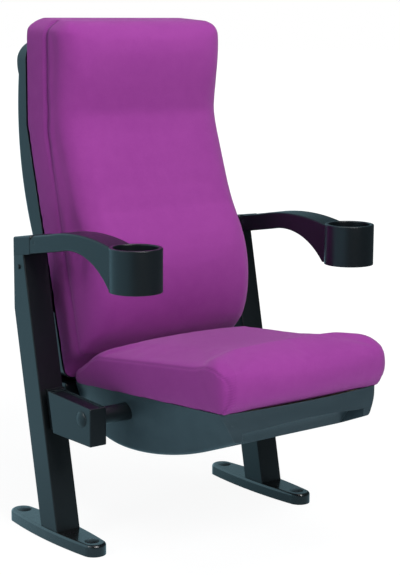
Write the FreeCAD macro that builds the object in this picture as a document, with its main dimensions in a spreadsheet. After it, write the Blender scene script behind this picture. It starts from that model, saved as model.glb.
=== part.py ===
import FreeCAD, Part
import math
import os
import Sketcher

# Tip-up auditorium seat on two leaning stanchions, with a lift-up armrest and cup holder each side.
# Millimetres, +Z up, the sitter faces -Y. The origin lies on the floor, midway between the four
# floor anchor holes. Left and right are the sitter's own: right is -X, left is +X.

doc = FreeCAD.newDocument("auditorium_seat")
sheet = doc.addObject("Spreadsheet::Sheet", "sizes")

# Driving dimensions: alias and value
DRIVING = (
    # Stanchions and feet
    ("leg_x", 280),
    ("leg_width", 58),
    ("leg_depth", 61),
    ("leg_wall", 2.5),
    ("leg_lean", 11.6),
    ("leg_front_y", -43),
    ("leg_rear_y", 112),
    ("anchor_pitch", 259),
    ("anchor_hole", 13),
    ("foot_length", 323),
    ("foot_side_lip", 5),
    ("foot_end_width", 50),
    ("foot_height", 24.6),
    ("foot_wall", 5),
    ("foot_edge", 6),
    ("foot_boss", 44),
    ("plug_width", 30),
    ("plug_seat", 4),
    ("plug_dome", 2.5),
    # Seat pivot, its bracket and cover
    ("pivot_y", -132.3),
    ("pivot_z", 285.7),
    ("cover_shift", 14.3),
    ("cover_width", 39.8),
    ("cover_front", 31),
    ("cover_gap", 26),
    ("cover_top_z", 312),
    ("cover_top_slope", 2.7),
    ("cover_height", 78.5),
    ("cover_wall", 2.5),
    ("cover_sink", 3.5),
    ("cap_width", 33),
    ("cap_dome", 6),
    ("cap_stem", 12),
    ("bracket_plate", 8),
    ("bracket_flange", 6),
    ("flange_width", 43),
    ("flange_height", 84),
    ("flange_rise", 18),
    ("bolt_size", 8),
    ("bolt_pitch_x", 24),
    ("bolt_pitch_z", 52),
    ("shaft_width", 20),
    ("shaft_end_width", 14),
    ("bush_wall", 4),
    ("bush_flange", 2),
    ("hub_width", 36),
    ("lever_thickness", 5),
    ("lever_width", 12),
    ("lever_reach", 34),
    ("lever_angle", -30),
    ("seat_travel", 57),
    ("peg_width", 8),
    ("peg_reach", 30),
    ("buffer_width", 14),
    ("spring_wire", 2.8),
    ("spring_turns", 3),
    ("spring_tail", 14),
    # Screws
    ("screw_shank", 5),
    ("screw_head", 10),
    ("screw_bite", 9),
    ("pillar_width", 20),
    # Seat
    ("rim_half_width", 206),
    ("keel_half_width", 177),
    ("seat_front_y", -472),
    ("seat_front_bow", 16),
    ("seat_corner", 24),
    ("seat_rear_corner", 18),
    ("seat_rear_y", 56),
    ("rim_front_z", 345.5),
    ("rim_slope", 3.8),
    ("pan_front_depth", 52),
    ("pan_wall", 3.5),
    ("pan_edge", 12),
    ("belly_z", 197),
    ("board_thickness", 12),
    ("rail_width", 24),
    ("rail_height", 22),
    ("side_plate", 5),
    ("side_plate_x", 168),
    ("cushion_half_width", 216),
    ("cushion_front_z", 440),
    ("cushion_slope", 6.4),
    ("cushion_rear_y", 40),
    ("cushion_nose", 14),
    # Back
    ("back_half_width", 216),
    ("back_front_y", -49),
    ("back_bottom_z", 308),
    ("back_top_z", 1076),
    ("back_corner", 34),
    ("back_low_corner", 26),
    ("back_rear_low_y", 70),
    ("back_knee_y", 209),
    ("back_knee_z", 850),
    ("back_cushion_edge", 26),
    ("back_board", 9),
    ("back_board_margin", 24),
    ("shell_depth", 38),
    ("shell_wall", 3.5),
    ("shell_inset", 4),
    ("shell_top_drop", 42),
    ("shell_corner", 46),
    ("frame_tube", 20),
    ("upright_x", 140),
    ("upright_width", 30),
    ("back_bracket_z", 486),
    ("back_bracket_plate", 6),
    ("back_bracket_height", 60),
    # Armrests
    ("arm_shift", 1),
    ("arm_width", 58),
    ("seam_y", 48),
    ("seam_gap", 0.4),
    ("hinge_y", 32.2),
    ("hinge_z", 624),
    ("hinge_pin", 8),
    ("tongue_width", 30),
    ("knuckle_radius", 11.6),
    ("arm_rear_under_z", 587),
    ("arm_under_slope", 9.7),
    ("arm_rear_top_z", 627),
    ("arm_top_slope", 8.3),
    ("arm_crest_z", 658),
    ("arm_edge", 4),
    ("cup_y", -282.7),
    ("cup_radius", 52),
    ("cup_wall", 8),
    ("cup_rim_z", 650.3),
    ("cup_bottom_z", 565),
    ("cup_floor", 5),
    ("spigot_depth", 42),
    # Clearances
    ("running_fit", 0.05),
    ("part_gap", 0.4),
    ("slide_gap", 0.3),
    ("cut_reach", 1500),
)

for row, (alias, number) in enumerate(DRIVING, 1):
    cell = "A%d" % row
    sheet.set(cell, str(number))
    sheet.setAlias(cell, alias)
doc.recompute()


class Size:
    """A number together with the sheet formula that it comes from."""

    def __init__(self, value, formula):
        self.value = value
        self.formula = formula

    def __add__(self, other):
        other = size(other)
        return Size(self.value + other.value, "(%s + %s)" % (self.formula, other.formula))

    def __sub__(self, other):
        other = size(other)
        return Size(self.value - other.value, "(%s - %s)" % (self.formula, other.formula))

    def __mul__(self, other):
        other = size(other)
        return Size(self.value * other.value, "(%s * %s)" % (self.formula, other.formula))

    def __truediv__(self, other):
        other = size(other)
        return Size(self.value / other.value, "(%s / %s)" % (self.formula, other.formula))

    def __radd__(self, other):
        return size(other) + self

    def __rsub__(self, other):
        return size(other) - self

    def __rmul__(self, other):
        return size(other) * self

    def __neg__(self):
        return Size(-self.value, "(0 - %s)" % self.formula)


def size(number):
    if isinstance(number, Size):
        return number
    return Size(float(number), "(%r)" % float(number))


def sine(angle):
    return Size(math.sin(math.radians(angle.value)), "sin(%s)" % angle.formula)


def cosine(angle):
    return Size(math.cos(math.radians(angle.value)), "cos(%s)" % angle.formula)


def tangent(angle):
    return Size(math.tan(math.radians(angle.value)), "tan(%s)" % angle.formula)


S = {alias: Size(float(number), "sizes.%s" % alias) for alias, number in DRIVING}
SIDES = (("right", -1), ("left", 1))
PLANES = {"XY": "XY_Plane", "XZ": "XZ_Plane", "YZ": "YZ_Plane"}
made = []


def bind(target, prop, value):
    """Ties a property to the sheet."""
    target.setExpression(prop, size(value).formula)


def place(target, x=0, y=0, z=0, axis=None, angle=0):
    """Puts a sub-part at its place, turned about an axis where one is given."""
    if axis:
        target.Placement.Rotation = FreeCAD.Rotation(FreeCAD.Vector(*axis), size(angle).value)
        bind(target, "Placement.Rotation.Angle", angle)
    bind(target, "Placement.Base.x", x)
    bind(target, "Placement.Base.y", y)
    bind(target, "Placement.Base.z", z)


def sub_part(label):
    """A body that becomes one node."""
    body = doc.addObject("PartDesign::Body", label)
    body.Label = label
    made.append(body)
    return body


def helper_body(label):
    """A body that other sub-parts are cut from, which isn't a node itself."""
    body = doc.addObject("PartDesign::Body", label)
    body.Label = label
    return body


def new_sketch(body, plane, offset=0):
    """A sketch on one of the body's own origin planes, moved along its normal."""
    sketch = body.newObject("Sketcher::SketchObject", body.Name + "_sketch")
    support = [f for f in body.Origin.OriginFeatures if f.Role == PLANES[plane]][0]
    sketch.AttachmentSupport = [(support, "")]
    sketch.MapMode = "FlatFace"
    bind(sketch, "AttachmentOffset.Base.z", offset)
    sketch.AttachmentOffset.Base.z = size(offset).value
    return sketch


def fix_point(sketch, rules, geometry, end, point):
    """Ties one end of a sketch element to its coordinates."""
    for kind, coordinate in zip(("DistanceX", "DistanceY"), point):
        coordinate = size(coordinate)
        number = Sketcher.Constraint(kind, -1, 1, geometry, end, coordinate.value)
        rules.append((number, coordinate.formula))


def draw_outline(sketch, points):
    """Draws a closed outline. A point is (u, v), or (u, v, mu, mv) where an arc that passes
    through (mu, mv) leads to it from the point before."""
    first = sketch.GeometryCount
    rules = []
    ends = []
    count = len(points)
    for i in range(count):
        start = FreeCAD.Vector(size(points[i - 1][0]).value, size(points[i - 1][1]).value, 0)
        stop = FreeCAD.Vector(size(points[i][0]).value, size(points[i][1]).value, 0)
        if len(points[i]) == 4:
            middle = FreeCAD.Vector(size(points[i][2]).value, size(points[i][3]).value, 0)
            anticlockwise = (middle - start).cross(stop - start).z > 0
            arc = Part.Arc(start, middle, stop) if anticlockwise else Part.Arc(stop, middle, start)
            number = sketch.addGeometry(arc, False)
            ends.append((number, 1, 2) if anticlockwise else (number, 2, 1))
        else:
            number = sketch.addGeometry(Part.LineSegment(start, stop), False)
            ends.append((number, 1, 2))
    for i in range(count):
        number, begin, finish = ends[i]
        following = ends[(i + 1) % count]
        rules.append((Sketcher.Constraint("Coincident", number, finish, following[0], following[1]), None))
        fix_point(sketch, rules, number, finish, points[i][:2])
        if len(points[i]) == 4:
            middle = FreeCAD.Vector(size(points[i][2]).value, size(points[i][3]).value, 0)
            mark = sketch.addGeometry(Part.Point(middle), True)
            rules.append((Sketcher.Constraint("PointOnObject", mark, 1, number), None))
            fix_point(sketch, rules, mark, 1, points[i][2:])
    add_rules(sketch, rules)
    return first


def add_rules(sketch, rules):
    """Adds the constraints and ties their values to the sheet."""
    begin = sketch.ConstraintCount
    sketch.addConstraint([rule for rule, formula in rules])
    for i, (rule, formula) in enumerate(rules):
        if formula:
            sketch.setExpression("Constraints[%d]" % (begin + i), formula)


def draw_circle(sketch, u, v, diameter):
    """Draws a circle of a given diameter."""
    centre = FreeCAD.Vector(size(u).value, size(v).value, 0)
    radius = size(diameter) / 2
    number = sketch.addGeometry(Part.Circle(centre, FreeCAD.Vector(0, 0, 1), radius.value), False)
    rules = []
    fix_point(sketch, rules, number, 3, (u, v))
    rules.append((Sketcher.Constraint("Radius", number, radius.value), radius.formula))
    add_rules(sketch, rules)


def box_points(u0, u1, v0, v1):
    """The corners of a rectangle."""
    return [(u0, v0), (u1, v0), (u1, v1), (u0, v1)]


def pad(body, sketch, length, symmetric=True, reverse=False):
    """Adds a sketch's outline as a solid of the given length."""
    feature = body.newObject("PartDesign::Pad", body.Name + "_pad")
    feature.Profile = sketch
    feature.SideType = "Symmetric" if symmetric else "One side"
    feature.Reversed = reverse
    bind(feature, "Length", length)
    sketch.Visibility = False
    return feature


def slab(body, plane, points, length, offset=0, symmetric=True, reverse=False):
    """A pad from an outline."""
    sketch = new_sketch(body, plane, offset)
    draw_outline(sketch, points)
    return pad(body, sketch, length, symmetric, reverse)


def disc(body, plane, u, v, diameter, length, offset=0, symmetric=False, reverse=False):
    """A pad from a circle."""
    sketch = new_sketch(body, plane, offset)
    draw_circle(sketch, u, v, diameter)
    return pad(body, sketch, length, symmetric, reverse)


def pocket(body, sketch, length=None, symmetric=True, reverse=False):
    """Cuts a sketch's outline away, all through where no length is given."""
    before = current_volume(body)
    feature = body.newObject("PartDesign::Pocket", body.Name + "_pocket")
    feature.Profile = sketch
    feature.Type = "Length"
    feature.SideType = "Symmetric" if symmetric else "One side"
    feature.Reversed = reverse
    bind(feature, "Length", length if length is not None else S["cut_reach"])
    doc.recompute()
    if current_volume(body) > before - 1e-3:
        raise RuntimeError("a pocket in %s cuts nothing" % body.Label)
    return feature


def current_volume(body):
    doc.recompute()
    return body.Shape.Volume


def cut_slab(body, plane, points, length=None, offset=0, symmetric=True, reverse=False):
    """A pocket from an outline."""
    sketch = new_sketch(body, plane, offset)
    draw_outline(sketch, points)
    return pocket(body, sketch, length, symmetric, reverse)


def cut_disc(body, plane, u, v, diameter, length=None, offset=0, symmetric=True, reverse=False):
    """A pocket from a circle."""
    sketch = new_sketch(body, plane, offset)
    draw_circle(sketch, u, v, diameter)
    return pocket(body, sketch, length, symmetric, reverse)


def keep_inside(body, plane, points):
    """Cuts away all that lies outside an outline."""
    sketch = new_sketch(body, plane)
    reach = S["cut_reach"]
    draw_outline(sketch, box_points(-reach, reach, -reach, reach))
    draw_outline(sketch, points)
    feature = pocket(body, sketch, reach * 2)
    return feature


def loft(body, sections, subtract=False, ruled=False):
    """Joins outlines that stand at several places along Y, each (y, outline)."""
    kind = "PartDesign::SubtractiveLoft" if subtract else "PartDesign::AdditiveLoft"
    sketches = []
    for y, points in sections:
        sketch = new_sketch(body, "XZ", -size(y))
        draw_outline(sketch, points)
        sketches.append(sketch)
    feature = body.newObject(kind, body.Name + "_loft")
    feature.Profile = sketches[0]
    feature.Sections = sketches[1:]
    feature.Ruled = ruled
    return feature


def round_edges(body, radius, chosen):
    """Fillets the edges that a test picks out."""
    doc.recompute()
    base = body.Tip
    names = ["Edge%d" % (i + 1) for i, edge in enumerate(base.Shape.Edges) if chosen(edge)]
    if not names:
        raise RuntimeError("no edge to round on %s" % body.Label)
    feature = body.newObject("PartDesign::Fillet", body.Name + "_fillet")
    feature.Base = (base, names)
    bind(feature, "Radius", radius)
    doc.recompute()
    if "Invalid" in feature.State:
        raise RuntimeError("the rounding of %s fails" % body.Label)
    return feature


def revolve(body, plane, points, axis="H_Axis"):
    """Turns an outline round the sketch's own axis."""
    sketch = new_sketch(body, plane)
    draw_outline(sketch, points)
    feature = body.newObject("PartDesign::Revolution", body.Name + "_turned")
    feature.Profile = sketch
    feature.ReferenceAxis = (sketch, [axis])
    feature.Angle = 360
    return feature


def group(label, solids):
    """Several equal pieces that share one node."""
    target = doc.addObject("Part::Feature", label)
    target.Label = label
    target.Shape = Part.makeCompound(solids)
    made.append(target)
    return target


def runs(edge):
    """How far an edge runs along each axis."""
    box = edge.BoundBox
    return box.XLength, box.YLength, box.ZLength


def centre(edge):
    return edge.BoundBox.Center


def cut_from(label, outer, inner):
    """A sub-part that is one body less another."""
    target = doc.addObject("Part::Cut", label)
    target.Label = label
    target.Base = outer
    target.Tool = inner
    made.append(target)
    return target


# Lines that several pieces share
def leg_frame(y, z):
    """A point of the side view, in the leaning stanchion's own frame."""
    along_y = size(y) - S["leg_front_y"]
    along_z = size(z) - S["foot_height"]
    lean_cos = cosine(S["leg_lean"])
    lean_sin = sine(S["leg_lean"])
    return along_y * lean_cos - along_z * lean_sin, along_y * lean_sin + along_z * lean_cos


def arm_under_z(y):
    """Height of the armrest's underside over the stanchion."""
    return S["arm_rear_under_z"] + tangent(S["arm_under_slope"]) * (S["leg_rear_y"] - y)


def arm_top_z(y):
    """Height of the armrest's straight rear top."""
    return S["arm_rear_top_z"] + tangent(S["arm_top_slope"]) * (S["leg_rear_y"] - y)


def rim_z(y):
    """Height of the seat pan's rim, which falls to the rear."""
    return S["rim_front_z"] - tangent(S["rim_slope"]) * (size(y) - S["seat_front_y"] - S["seat_front_bow"])


def cushion_top_z(y):
    """Height of the seat cushion's top."""
    front = S["seat_front_y"] + 86
    return S["cushion_front_z"] - tangent(S["cushion_slope"]) * (size(y) - front)


def back_rear_y(z):
    """The plane between the back cushion and its board, below the knee."""
    rise = (S["back_knee_y"] - S["back_rear_low_y"]) / (S["back_knee_z"] - S["back_bottom_z"])
    return S["back_rear_low_y"] + rise * (size(z) - S["back_bottom_z"])


def polar(y, z, reach, angle):
    """A point at an angle from the pivot, in the side view."""
    return y + reach * cosine(angle), z + reach * sine(angle)


leg_half = S["leg_width"] / 2
arm_x = S["leg_x"] - S["arm_shift"]
cover_inner_x = S["leg_x"] - S["cover_shift"]
cover_outer_x = cover_inner_x + S["cover_width"]
back_board_half = S["back_half_width"] - S["back_board_margin"]
plate_inner_x = cover_inner_x + S["cover_wall"] + S["part_gap"]
plate_outer_x = plate_inner_x + S["bracket_plate"]
cover_front_y = S["pivot_y"] - S["cover_front"]
lever_x = cover_outer_x - S["cover_wall"] - S["lever_thickness"] - 2
down_peg = S["lever_angle"] + 27
up_peg = S["lever_angle"] - S["seat_travel"] - 27


def build_foot(name, side):
    """Cast foot: a long lozenge, hollow beneath, with a boss round each floor anchor."""
    foot = sub_part(name + "_foot")
    half_end = S["foot_end_width"] / 2
    half_mid = leg_half + S["foot_side_lip"]
    shoulder = S["foot_length"] / 2 - half_end
    anchor = S["anchor_pitch"] / 2

    def lozenge(inset):
        """The sides are shallow arcs that run smoothly into the round ends."""
        wide, end = half_mid - inset, half_end - inset
        bow = (wide * wide + shoulder * shoulder - end * end) / ((wide - end) * 2)
        x = wide - bow + bow * (bow - wide) / (bow - end)
        y = bow * shoulder / (bow - end)
        return [
            (x, y, wide, 0),
            (-x, y, 0, shoulder + end),
            (-x, -y, -wide, 0),
            (x, -y, 0, -shoulder - end),
        ]

    slab(foot, "XY", lozenge(size(0)), S["foot_height"], symmetric=False)
    round_edges(foot, S["foot_edge"], lambda e: abs(centre(e).z - S["foot_height"].value) < 0.01)
    cut_slab(foot, "XY", lozenge(S["foot_wall"]), S["foot_height"] - S["foot_wall"],
             symmetric=False, reverse=True)
    for end in (-1, 1):
        disc(foot, "XY", 0, anchor * end, S["foot_boss"], S["foot_height"] - S["foot_wall"])
    for end in (-1, 1):
        cut_disc(foot, "XY", 0, anchor * end, S["anchor_hole"])
        cut_disc(foot, "XY", 0, anchor * end, S["plug_width"] + S["slide_gap"] * 2,
                 S["plug_seat"], S["foot_height"], symmetric=False)
    place(foot, S["leg_x"] * side)


def build_stanchion(name, side):
    """Leaning rectangular tube, its rear cut upright below the armrest."""
    leg = sub_part(name + "_stanchion")
    depth = S["leg_depth"]
    wall = S["leg_wall"]
    over = size(2)
    foot_z = S["foot_height"]
    top_slope = tangent(S["arm_under_slope"])

    def profile(inset, extra):
        """The tube's side view; the ends stand out by extra."""
        back_y = S["leg_rear_y"] - inset
        lean = tangent(S["leg_lean"])
        front_at = S["leg_front_y"] + inset / cosine(S["leg_lean"])
        rear_at = S["leg_front_y"] + (depth - inset) / cosine(S["leg_lean"])
        low = foot_z - extra
        bend_z = foot_z + (back_y - rear_at) / lean
        top_z = arm_under_z(back_y) + extra
        reach = top_z + top_slope * (back_y - front_at)
        front_top_z = (reach + top_slope * lean * foot_z) / (top_slope * lean + 1)
        front_top_y = front_at + lean * (front_top_z - foot_z)
        corners = [
            (front_at - lean * extra, low),
            (rear_at - lean * extra, low),
            (back_y, bend_z),
            (back_y, top_z),
            (front_top_y, front_top_z),
        ]
        return [leg_frame(y, z) for y, z in corners]

    slab(leg, "YZ", profile(size(0), size(0)), S["leg_width"])
    round_edges(leg, wall, lambda e: abs(abs(centre(e).x) - leg_half.value) < 0.01 and runs(e)[2] > 60)
    cut_slab(leg, "YZ", profile(wall, over), S["leg_width"] - wall * 2)
    for x, z in bolt_places(side):
        cut_disc(leg, "XZ", x, z, S["bolt_size"] + S["slide_gap"] * 2, S["leg_depth"],
                 symmetric=False, reverse=True, offset=S["leg_depth"] / -2)
    cut_disc(leg, "YZ", *leg_frame(*block_screw_place()), S["screw_shank"] + S["slide_gap"] * 2)
    place(leg, S["leg_x"] * side, S["leg_front_y"], S["foot_height"], (-1, 0, 0), S["leg_lean"])


def flange_centre():
    """Middle of the bracket's flange, in the stanchion's frame."""
    y, z = leg_frame(S["pivot_y"], S["pivot_z"])
    return z + S["flange_rise"]


def bolt_places(side):
    """The bracket's bolts, as x from the stanchion's middle and height along it."""
    shift = (plate_inner_x + plate_outer_x) / 2 - S["leg_x"]
    spots = []
    for across in (-1, 1):
        for up in (-1, 1):
            x = (shift + S["bolt_pitch_x"] / 2 * across) * side
            spots.append((x, flange_centre() + S["bolt_pitch_z"] / 2 * up))
    return spots


def build_bracket(name, side):
    """Steel pivot bracket: a flange on the stanchion and a side plate that holds the bush."""
    bracket = sub_part(name + "_seat_bracket")
    middle = flange_centre()
    tall = S["flange_height"] / 2
    flange = S["bracket_flange"]
    plate_x = (plate_inner_x + plate_outer_x) / 2 - S["leg_x"]
    slab(bracket, "XZ", box_points(plate_x * side - S["flange_width"] / 2, plate_x * side + S["flange_width"] / 2,
                                   middle - tall, middle + tall), flange, symmetric=False)
    nose_y = cover_front_y + S["cover_wall"] + S["part_gap"] * 2
    low_z = S["cover_top_z"] - S["cover_height"] + S["cover_wall"] + S["part_gap"] * 2
    high_z = S["cover_top_z"] - S["cover_wall"] - S["cover_sink"] - S["part_gap"] * 2
    root_low = -flange, middle - tall * 0.6
    root_high = -flange, middle + tall * 0.6
    nose = [
        leg_frame(nose_y, low_z + 12),
        leg_frame(nose_y + 12, low_z),
        root_low,
        root_high,
        leg_frame(nose_y + 12, high_z),
        leg_frame(nose_y, high_z - 12),
    ]
    slab(bracket, "YZ", nose, S["bracket_plate"], plate_x * side)
    pivot = leg_frame(S["pivot_y"], S["pivot_z"])
    for angle in (down_peg, up_peg):
        spot = polar(S["pivot_y"], S["pivot_z"], S["peg_reach"], angle)
        disc(bracket, "YZ", *leg_frame(*spot), S["peg_width"], lever_x + S["lever_thickness"] - plate_outer_x + 1,
             (plate_outer_x - S["leg_x"] - 1) * side, reverse=side < 0)
    cut_disc(bracket, "YZ", *pivot, S["shaft_width"] + S["bush_wall"] * 2)
    for x, z in bolt_places(side):
        cut_disc(bracket, "XZ", x, z, S["bolt_size"] + S["slide_gap"] * 2)
    place(bracket, S["leg_x"] * side, S["leg_front_y"], S["foot_height"], (-1, 0, 0), S["leg_lean"])


def build_bracket_bolts(name, side):
    """Hexagon bolts that hold the bracket to the stanchion, each with its nut plate inside."""
    bolts = []
    shank = S["bolt_size"].value
    flange = S["bracket_flange"].value
    grip = flange + S["leg_wall"].value
    for x, z in bolt_places(side):
        head = Part.makeCylinder(shank * 0.8, shank * 0.65, FreeCAD.Vector(0, 0, 0), FreeCAD.Vector(0, -1, 0))
        hexagon = Part.Face(Part.makePolygon(
            [FreeCAD.Vector(shank * 0.8 * math.cos(math.radians(60 * i)), 0,
                            shank * 0.8 * math.sin(math.radians(60 * i))) for i in range(7)]))
        head = head.common(hexagon.extrude(FreeCAD.Vector(0, -shank, 0)))
        body = Part.makeCylinder(shank / 2, grip + shank, FreeCAD.Vector(0, 0, 0), FreeCAD.Vector(0, 1, 0))
        nut = Part.makeCylinder(shank * 0.8, shank * 0.7, FreeCAD.Vector(0, grip, 0), FreeCAD.Vector(0, 1, 0))
        bolt = head.fuse([body, nut])
        bolt.translate(FreeCAD.Vector(x.value, -flange, z.value))
        bolts.append(bolt.removeSplitter())
    bunch = group(name + "_bracket_bolts", bolts)
    place(bunch, S["leg_x"] * side, S["leg_front_y"], S["foot_height"], (-1, 0, 0), S["leg_lean"])


def build_cover(name, side):
    """Moulded cover over the bracket, with a sunken top and open at the rear towards the stanchion."""
    cover = sub_part(name + "_bracket_cover")
    wall = S["cover_wall"]
    lean = tangent(S["leg_lean"])
    slope = tangent(S["cover_top_slope"])

    sink = S["cover_sink"]

    def profile(inset, rear_extra, drop):
        low = S["cover_top_z"] - S["cover_height"] + inset
        front = cover_front_y + inset
        face_low = S["leg_front_y"] + lean * (low - S["foot_height"]) - S["cover_gap"] + rear_extra
        high_front = S["cover_top_z"] - inset - drop
        face_high = face_low + lean * (S["cover_height"] + slope * 150 - inset * 2)
        high_rear = high_front + slope * (face_high - front)
        return [(front, low), (face_low, low), (face_high, high_rear), (front, high_front)]

    slab(cover, "YZ", profile(size(0), size(0), size(0)), S["cover_width"])
    half = S["cover_width"].value / 2
    round_edges(cover, wall, lambda e: abs(abs(centre(e).x) - half) < 0.01 or
                (centre(e).y < cover_front_y.value + 1 and runs(e)[0] > 10))
    cut_slab(cover, "YZ", profile(wall, size(6), sink), S["cover_width"] - wall * 2)
    tray = profile(wall, size(0), sink)
    (front_y, front_z), (rear_y, rear_z) = tray[3], tray[2]
    cut_slab(cover, "YZ", [
        (front_y, front_z + wall),
        (rear_y - wall, rear_z + wall),
        (rear_y - wall, rear_z + 20),
        (front_y, front_z + 20),
    ], S["cover_width"] - wall * 2)
    inner = S["cover_width"] / 2 * -side
    cut_disc(cover, "YZ", S["pivot_y"], S["pivot_z"], S["shaft_width"] + S["part_gap"] * 4,
             S["cover_width"] / 2, inner, symmetric=True)
    cut_disc(cover, "YZ", S["pivot_y"], S["pivot_z"], S["cap_stem"] + S["slide_gap"] * 2,
             S["cover_width"] / 2, -inner, symmetric=True)
    place(cover, (cover_inner_x + S["cover_width"] / 2) * side)


def turned(name, side, points):
    """A turned piece on the pivot axis, drawn as distance outwards and radius."""
    piece = sub_part(name)
    revolve(piece, "XY", points)
    place(piece, 0, S["pivot_y"], S["pivot_z"], (0, 0, 1), 180 if side < 0 else 0)
    return piece


def build_pivot(name, side):
    """Bush, shaft, hub, cap, lever, buffers and return spring of one pivot."""
    shaft = S["shaft_width"] / 2
    end = S["shaft_end_width"] / 2
    bush_in = shaft + S["running_fit"]
    bush_out = shaft + S["bush_wall"]
    flange_out = bush_out + 3
    bush_end = plate_outer_x + S["bush_flange"]
    turned(name + "_pivot_bush", side, [
        (plate_inner_x, bush_in), (bush_end, bush_in), (bush_end, flange_out),
        (plate_outer_x, flange_out), (plate_outer_x, bush_out), (plate_inner_x, bush_out)])
    inner_end = S["side_plate_x"] - 4
    lever_end = lever_x + S["lever_thickness"]
    turned(name + "_pivot_shaft", side, [
        (inner_end, 0), (lever_end + 1, 0), (lever_end + 1, end), (lever_x, end),
        (lever_x, shaft), (S["side_plate_x"], shaft), (S["side_plate_x"], shaft + 6), (inner_end, shaft + 6)])
    hub_start = S["side_plate_x"] + S["side_plate"]
    hub_end = cover_inner_x - S["part_gap"] * 2
    turned(name + "_hub_sleeve", side, [
        (hub_start, shaft), (hub_end, shaft), (hub_end, S["hub_width"] / 2 - 2),
        (hub_end - 2, S["hub_width"] / 2), (hub_start, S["hub_width"] / 2)])
    stem = S["cap_stem"] / 2
    cap = S["cap_width"] / 2
    face = cover_outer_x
    turned(name + "_pivot_cap", side, [
        (face - S["cover_wall"] + 0.5, 0), (face + S["cap_dome"], 0),
        (face + 0.8, cap, face + S["cap_dome"] * 0.72, cap * 0.66), (face, cap),
        (face, stem), (face - S["cover_wall"] + 0.5, stem)])

    lever = sub_part(name + "_stop_lever")
    wide = S["lever_width"] / 2
    boss = S["lever_width"]
    slab(lever, "YZ", box_points(0, S["lever_reach"] - wide, -wide, wide), S["lever_thickness"])
    disc(lever, "YZ", 0, 0, boss * 2, S["lever_thickness"], symmetric=True)
    disc(lever, "YZ", S["lever_reach"] - wide, 0, wide * 2, S["lever_thickness"], symmetric=True)
    cut_disc(lever, "YZ", 0, 0, S["shaft_end_width"])
    place(lever, (lever_x + S["lever_thickness"] / 2) * side, S["pivot_y"], S["pivot_z"], (-1, 0, 0), -S["lever_angle"])

    buffers = []
    long = S["lever_thickness"].value + 1
    for angle in (down_peg, up_peg):
        y, z = polar(S["pivot_y"], S["pivot_z"], S["peg_reach"], angle)
        x = (lever_x.value - 1) * side
        base = FreeCAD.Vector(x, y.value, z.value)
        way = FreeCAD.Vector(side, 0, 0)
        ring = Part.makeCylinder(S["buffer_width"].value / 2, long, base, way)
        buffers.append(ring.cut(Part.makeCylinder(S["peg_width"].value / 2, long, base, way)))
    group(name + "_stop_buffers", buffers)

    build_spring(name, side)


def build_spring(name, side):
    """Torsion spring round the shaft, with a straight tail at each end."""
    wire = S["spring_wire"]
    coil = S["shaft_width"] / 2 + S["part_gap"] + wire / 2
    pitch = wire + S["slide_gap"]
    helix = doc.addObject("Part::Helix", name + "_spring_line")
    bind(helix, "Radius", coil)
    bind(helix, "Pitch", pitch)
    bind(helix, "Height", pitch * S["spring_turns"])
    section = doc.addObject("Part::Circle", name + "_spring_wire")
    bind(section, "Radius", wire / 2)
    place(section, coil, 0, 0, (1, 0, 0), 90)
    body = doc.addObject("Part::Sweep", name + "_spring_coil")
    doc.recompute()
    body.Sections = [section]
    body.Spine = (helix, ["Edge1"])
    body.Solid = True
    body.Frenet = True
    tails = []
    for end, way in ((0, 1), (1, -1)):
        tail = doc.addObject("Part::Cylinder", name + "_spring_tail")
        bind(tail, "Radius", wire / 2)
        bind(tail, "Height", S["spring_tail"])
        place(tail, coil, 0, pitch * S["spring_turns"] * end, (way, 0, 0), 90)
        tails.append(tail)
    spring = doc.addObject("Part::MultiFuse", name + "_return_spring")
    spring.Label = name + "_return_spring"
    spring.Shapes = [body] + tails
    made.append(spring)
    start_x = (plate_outer_x + S["bush_flange"] + S["part_gap"] + wire / 2) * side
    place(spring, start_x, S["pivot_y"], S["pivot_z"], (0, side, 0), 90)


def pan_section(y, half_rim, half_keel, low, high):
    """One cross-section of the boat-shaped seat pan."""
    return size(y), [(-half_keel, low), (half_keel, low), (half_rim, high), (-half_rim, high)]


def seat_plan(inset, front_inset):
    """The seat's plan: a bowed front and rounded corners."""
    behind = S["seat_rear_corner"] - inset
    half = S["rim_half_width"] - inset
    front = S["seat_front_y"] + front_inset
    corner_y = front + S["seat_front_bow"]
    rear = S["seat_rear_y"] - inset
    round_by = S["seat_corner"] - inset
    side_in = round_by * 0.293
    rear_in = behind * 0.293
    return [
        (half, rear - behind),
        (half - behind, rear, half - rear_in, rear - rear_in),
        (-half + behind, rear),
        (-half, rear - behind, -half + rear_in, rear - rear_in),
        (-half, corner_y + round_by),
        (-half + round_by, corner_y - 2, -half + side_in, corner_y + side_in - 1),
        (half - round_by, corner_y - 2, size(0), front),
        (half, corner_y + round_by, half - side_in, corner_y + side_in - 1),
    ]


def pillar_places():
    """Where the pan's screw pillars stand below the seat board."""
    spots = []
    for across in (-1, 1):
        for y in (S["seat_front_y"] + 144, S["pivot_y"] + 128):
            spots.append((S["side_plate_x"] * 0.7 * across, y))
    return spots


def cut_recess(body, grow):
    """Cuts the finger recess out under the pan's front edge, widened by a margin all round."""
    front = S["seat_front_y"]
    low = S["rim_front_z"] - S["pan_front_depth"]
    half = S["keel_half_width"] - 18 + grow
    top = S["rim_front_z"] - 41 + grow
    cut_slab(body, "YZ", [
        (front - 20, low - 44),
        (front + 86 + grow, low - 44),
        (front + 68 + grow, low - 18),
        (front + 20, top, front + 50 + grow, top - 11),
        (front - 20, top),
    ], half * 2)
    arch = half - 9
    cut_slab(body, "XZ", [
        (arch, top - 1),
        (-arch, top - 1, size(0), top + 8),
    ], 72, -(front - 20), symmetric=False)


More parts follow.
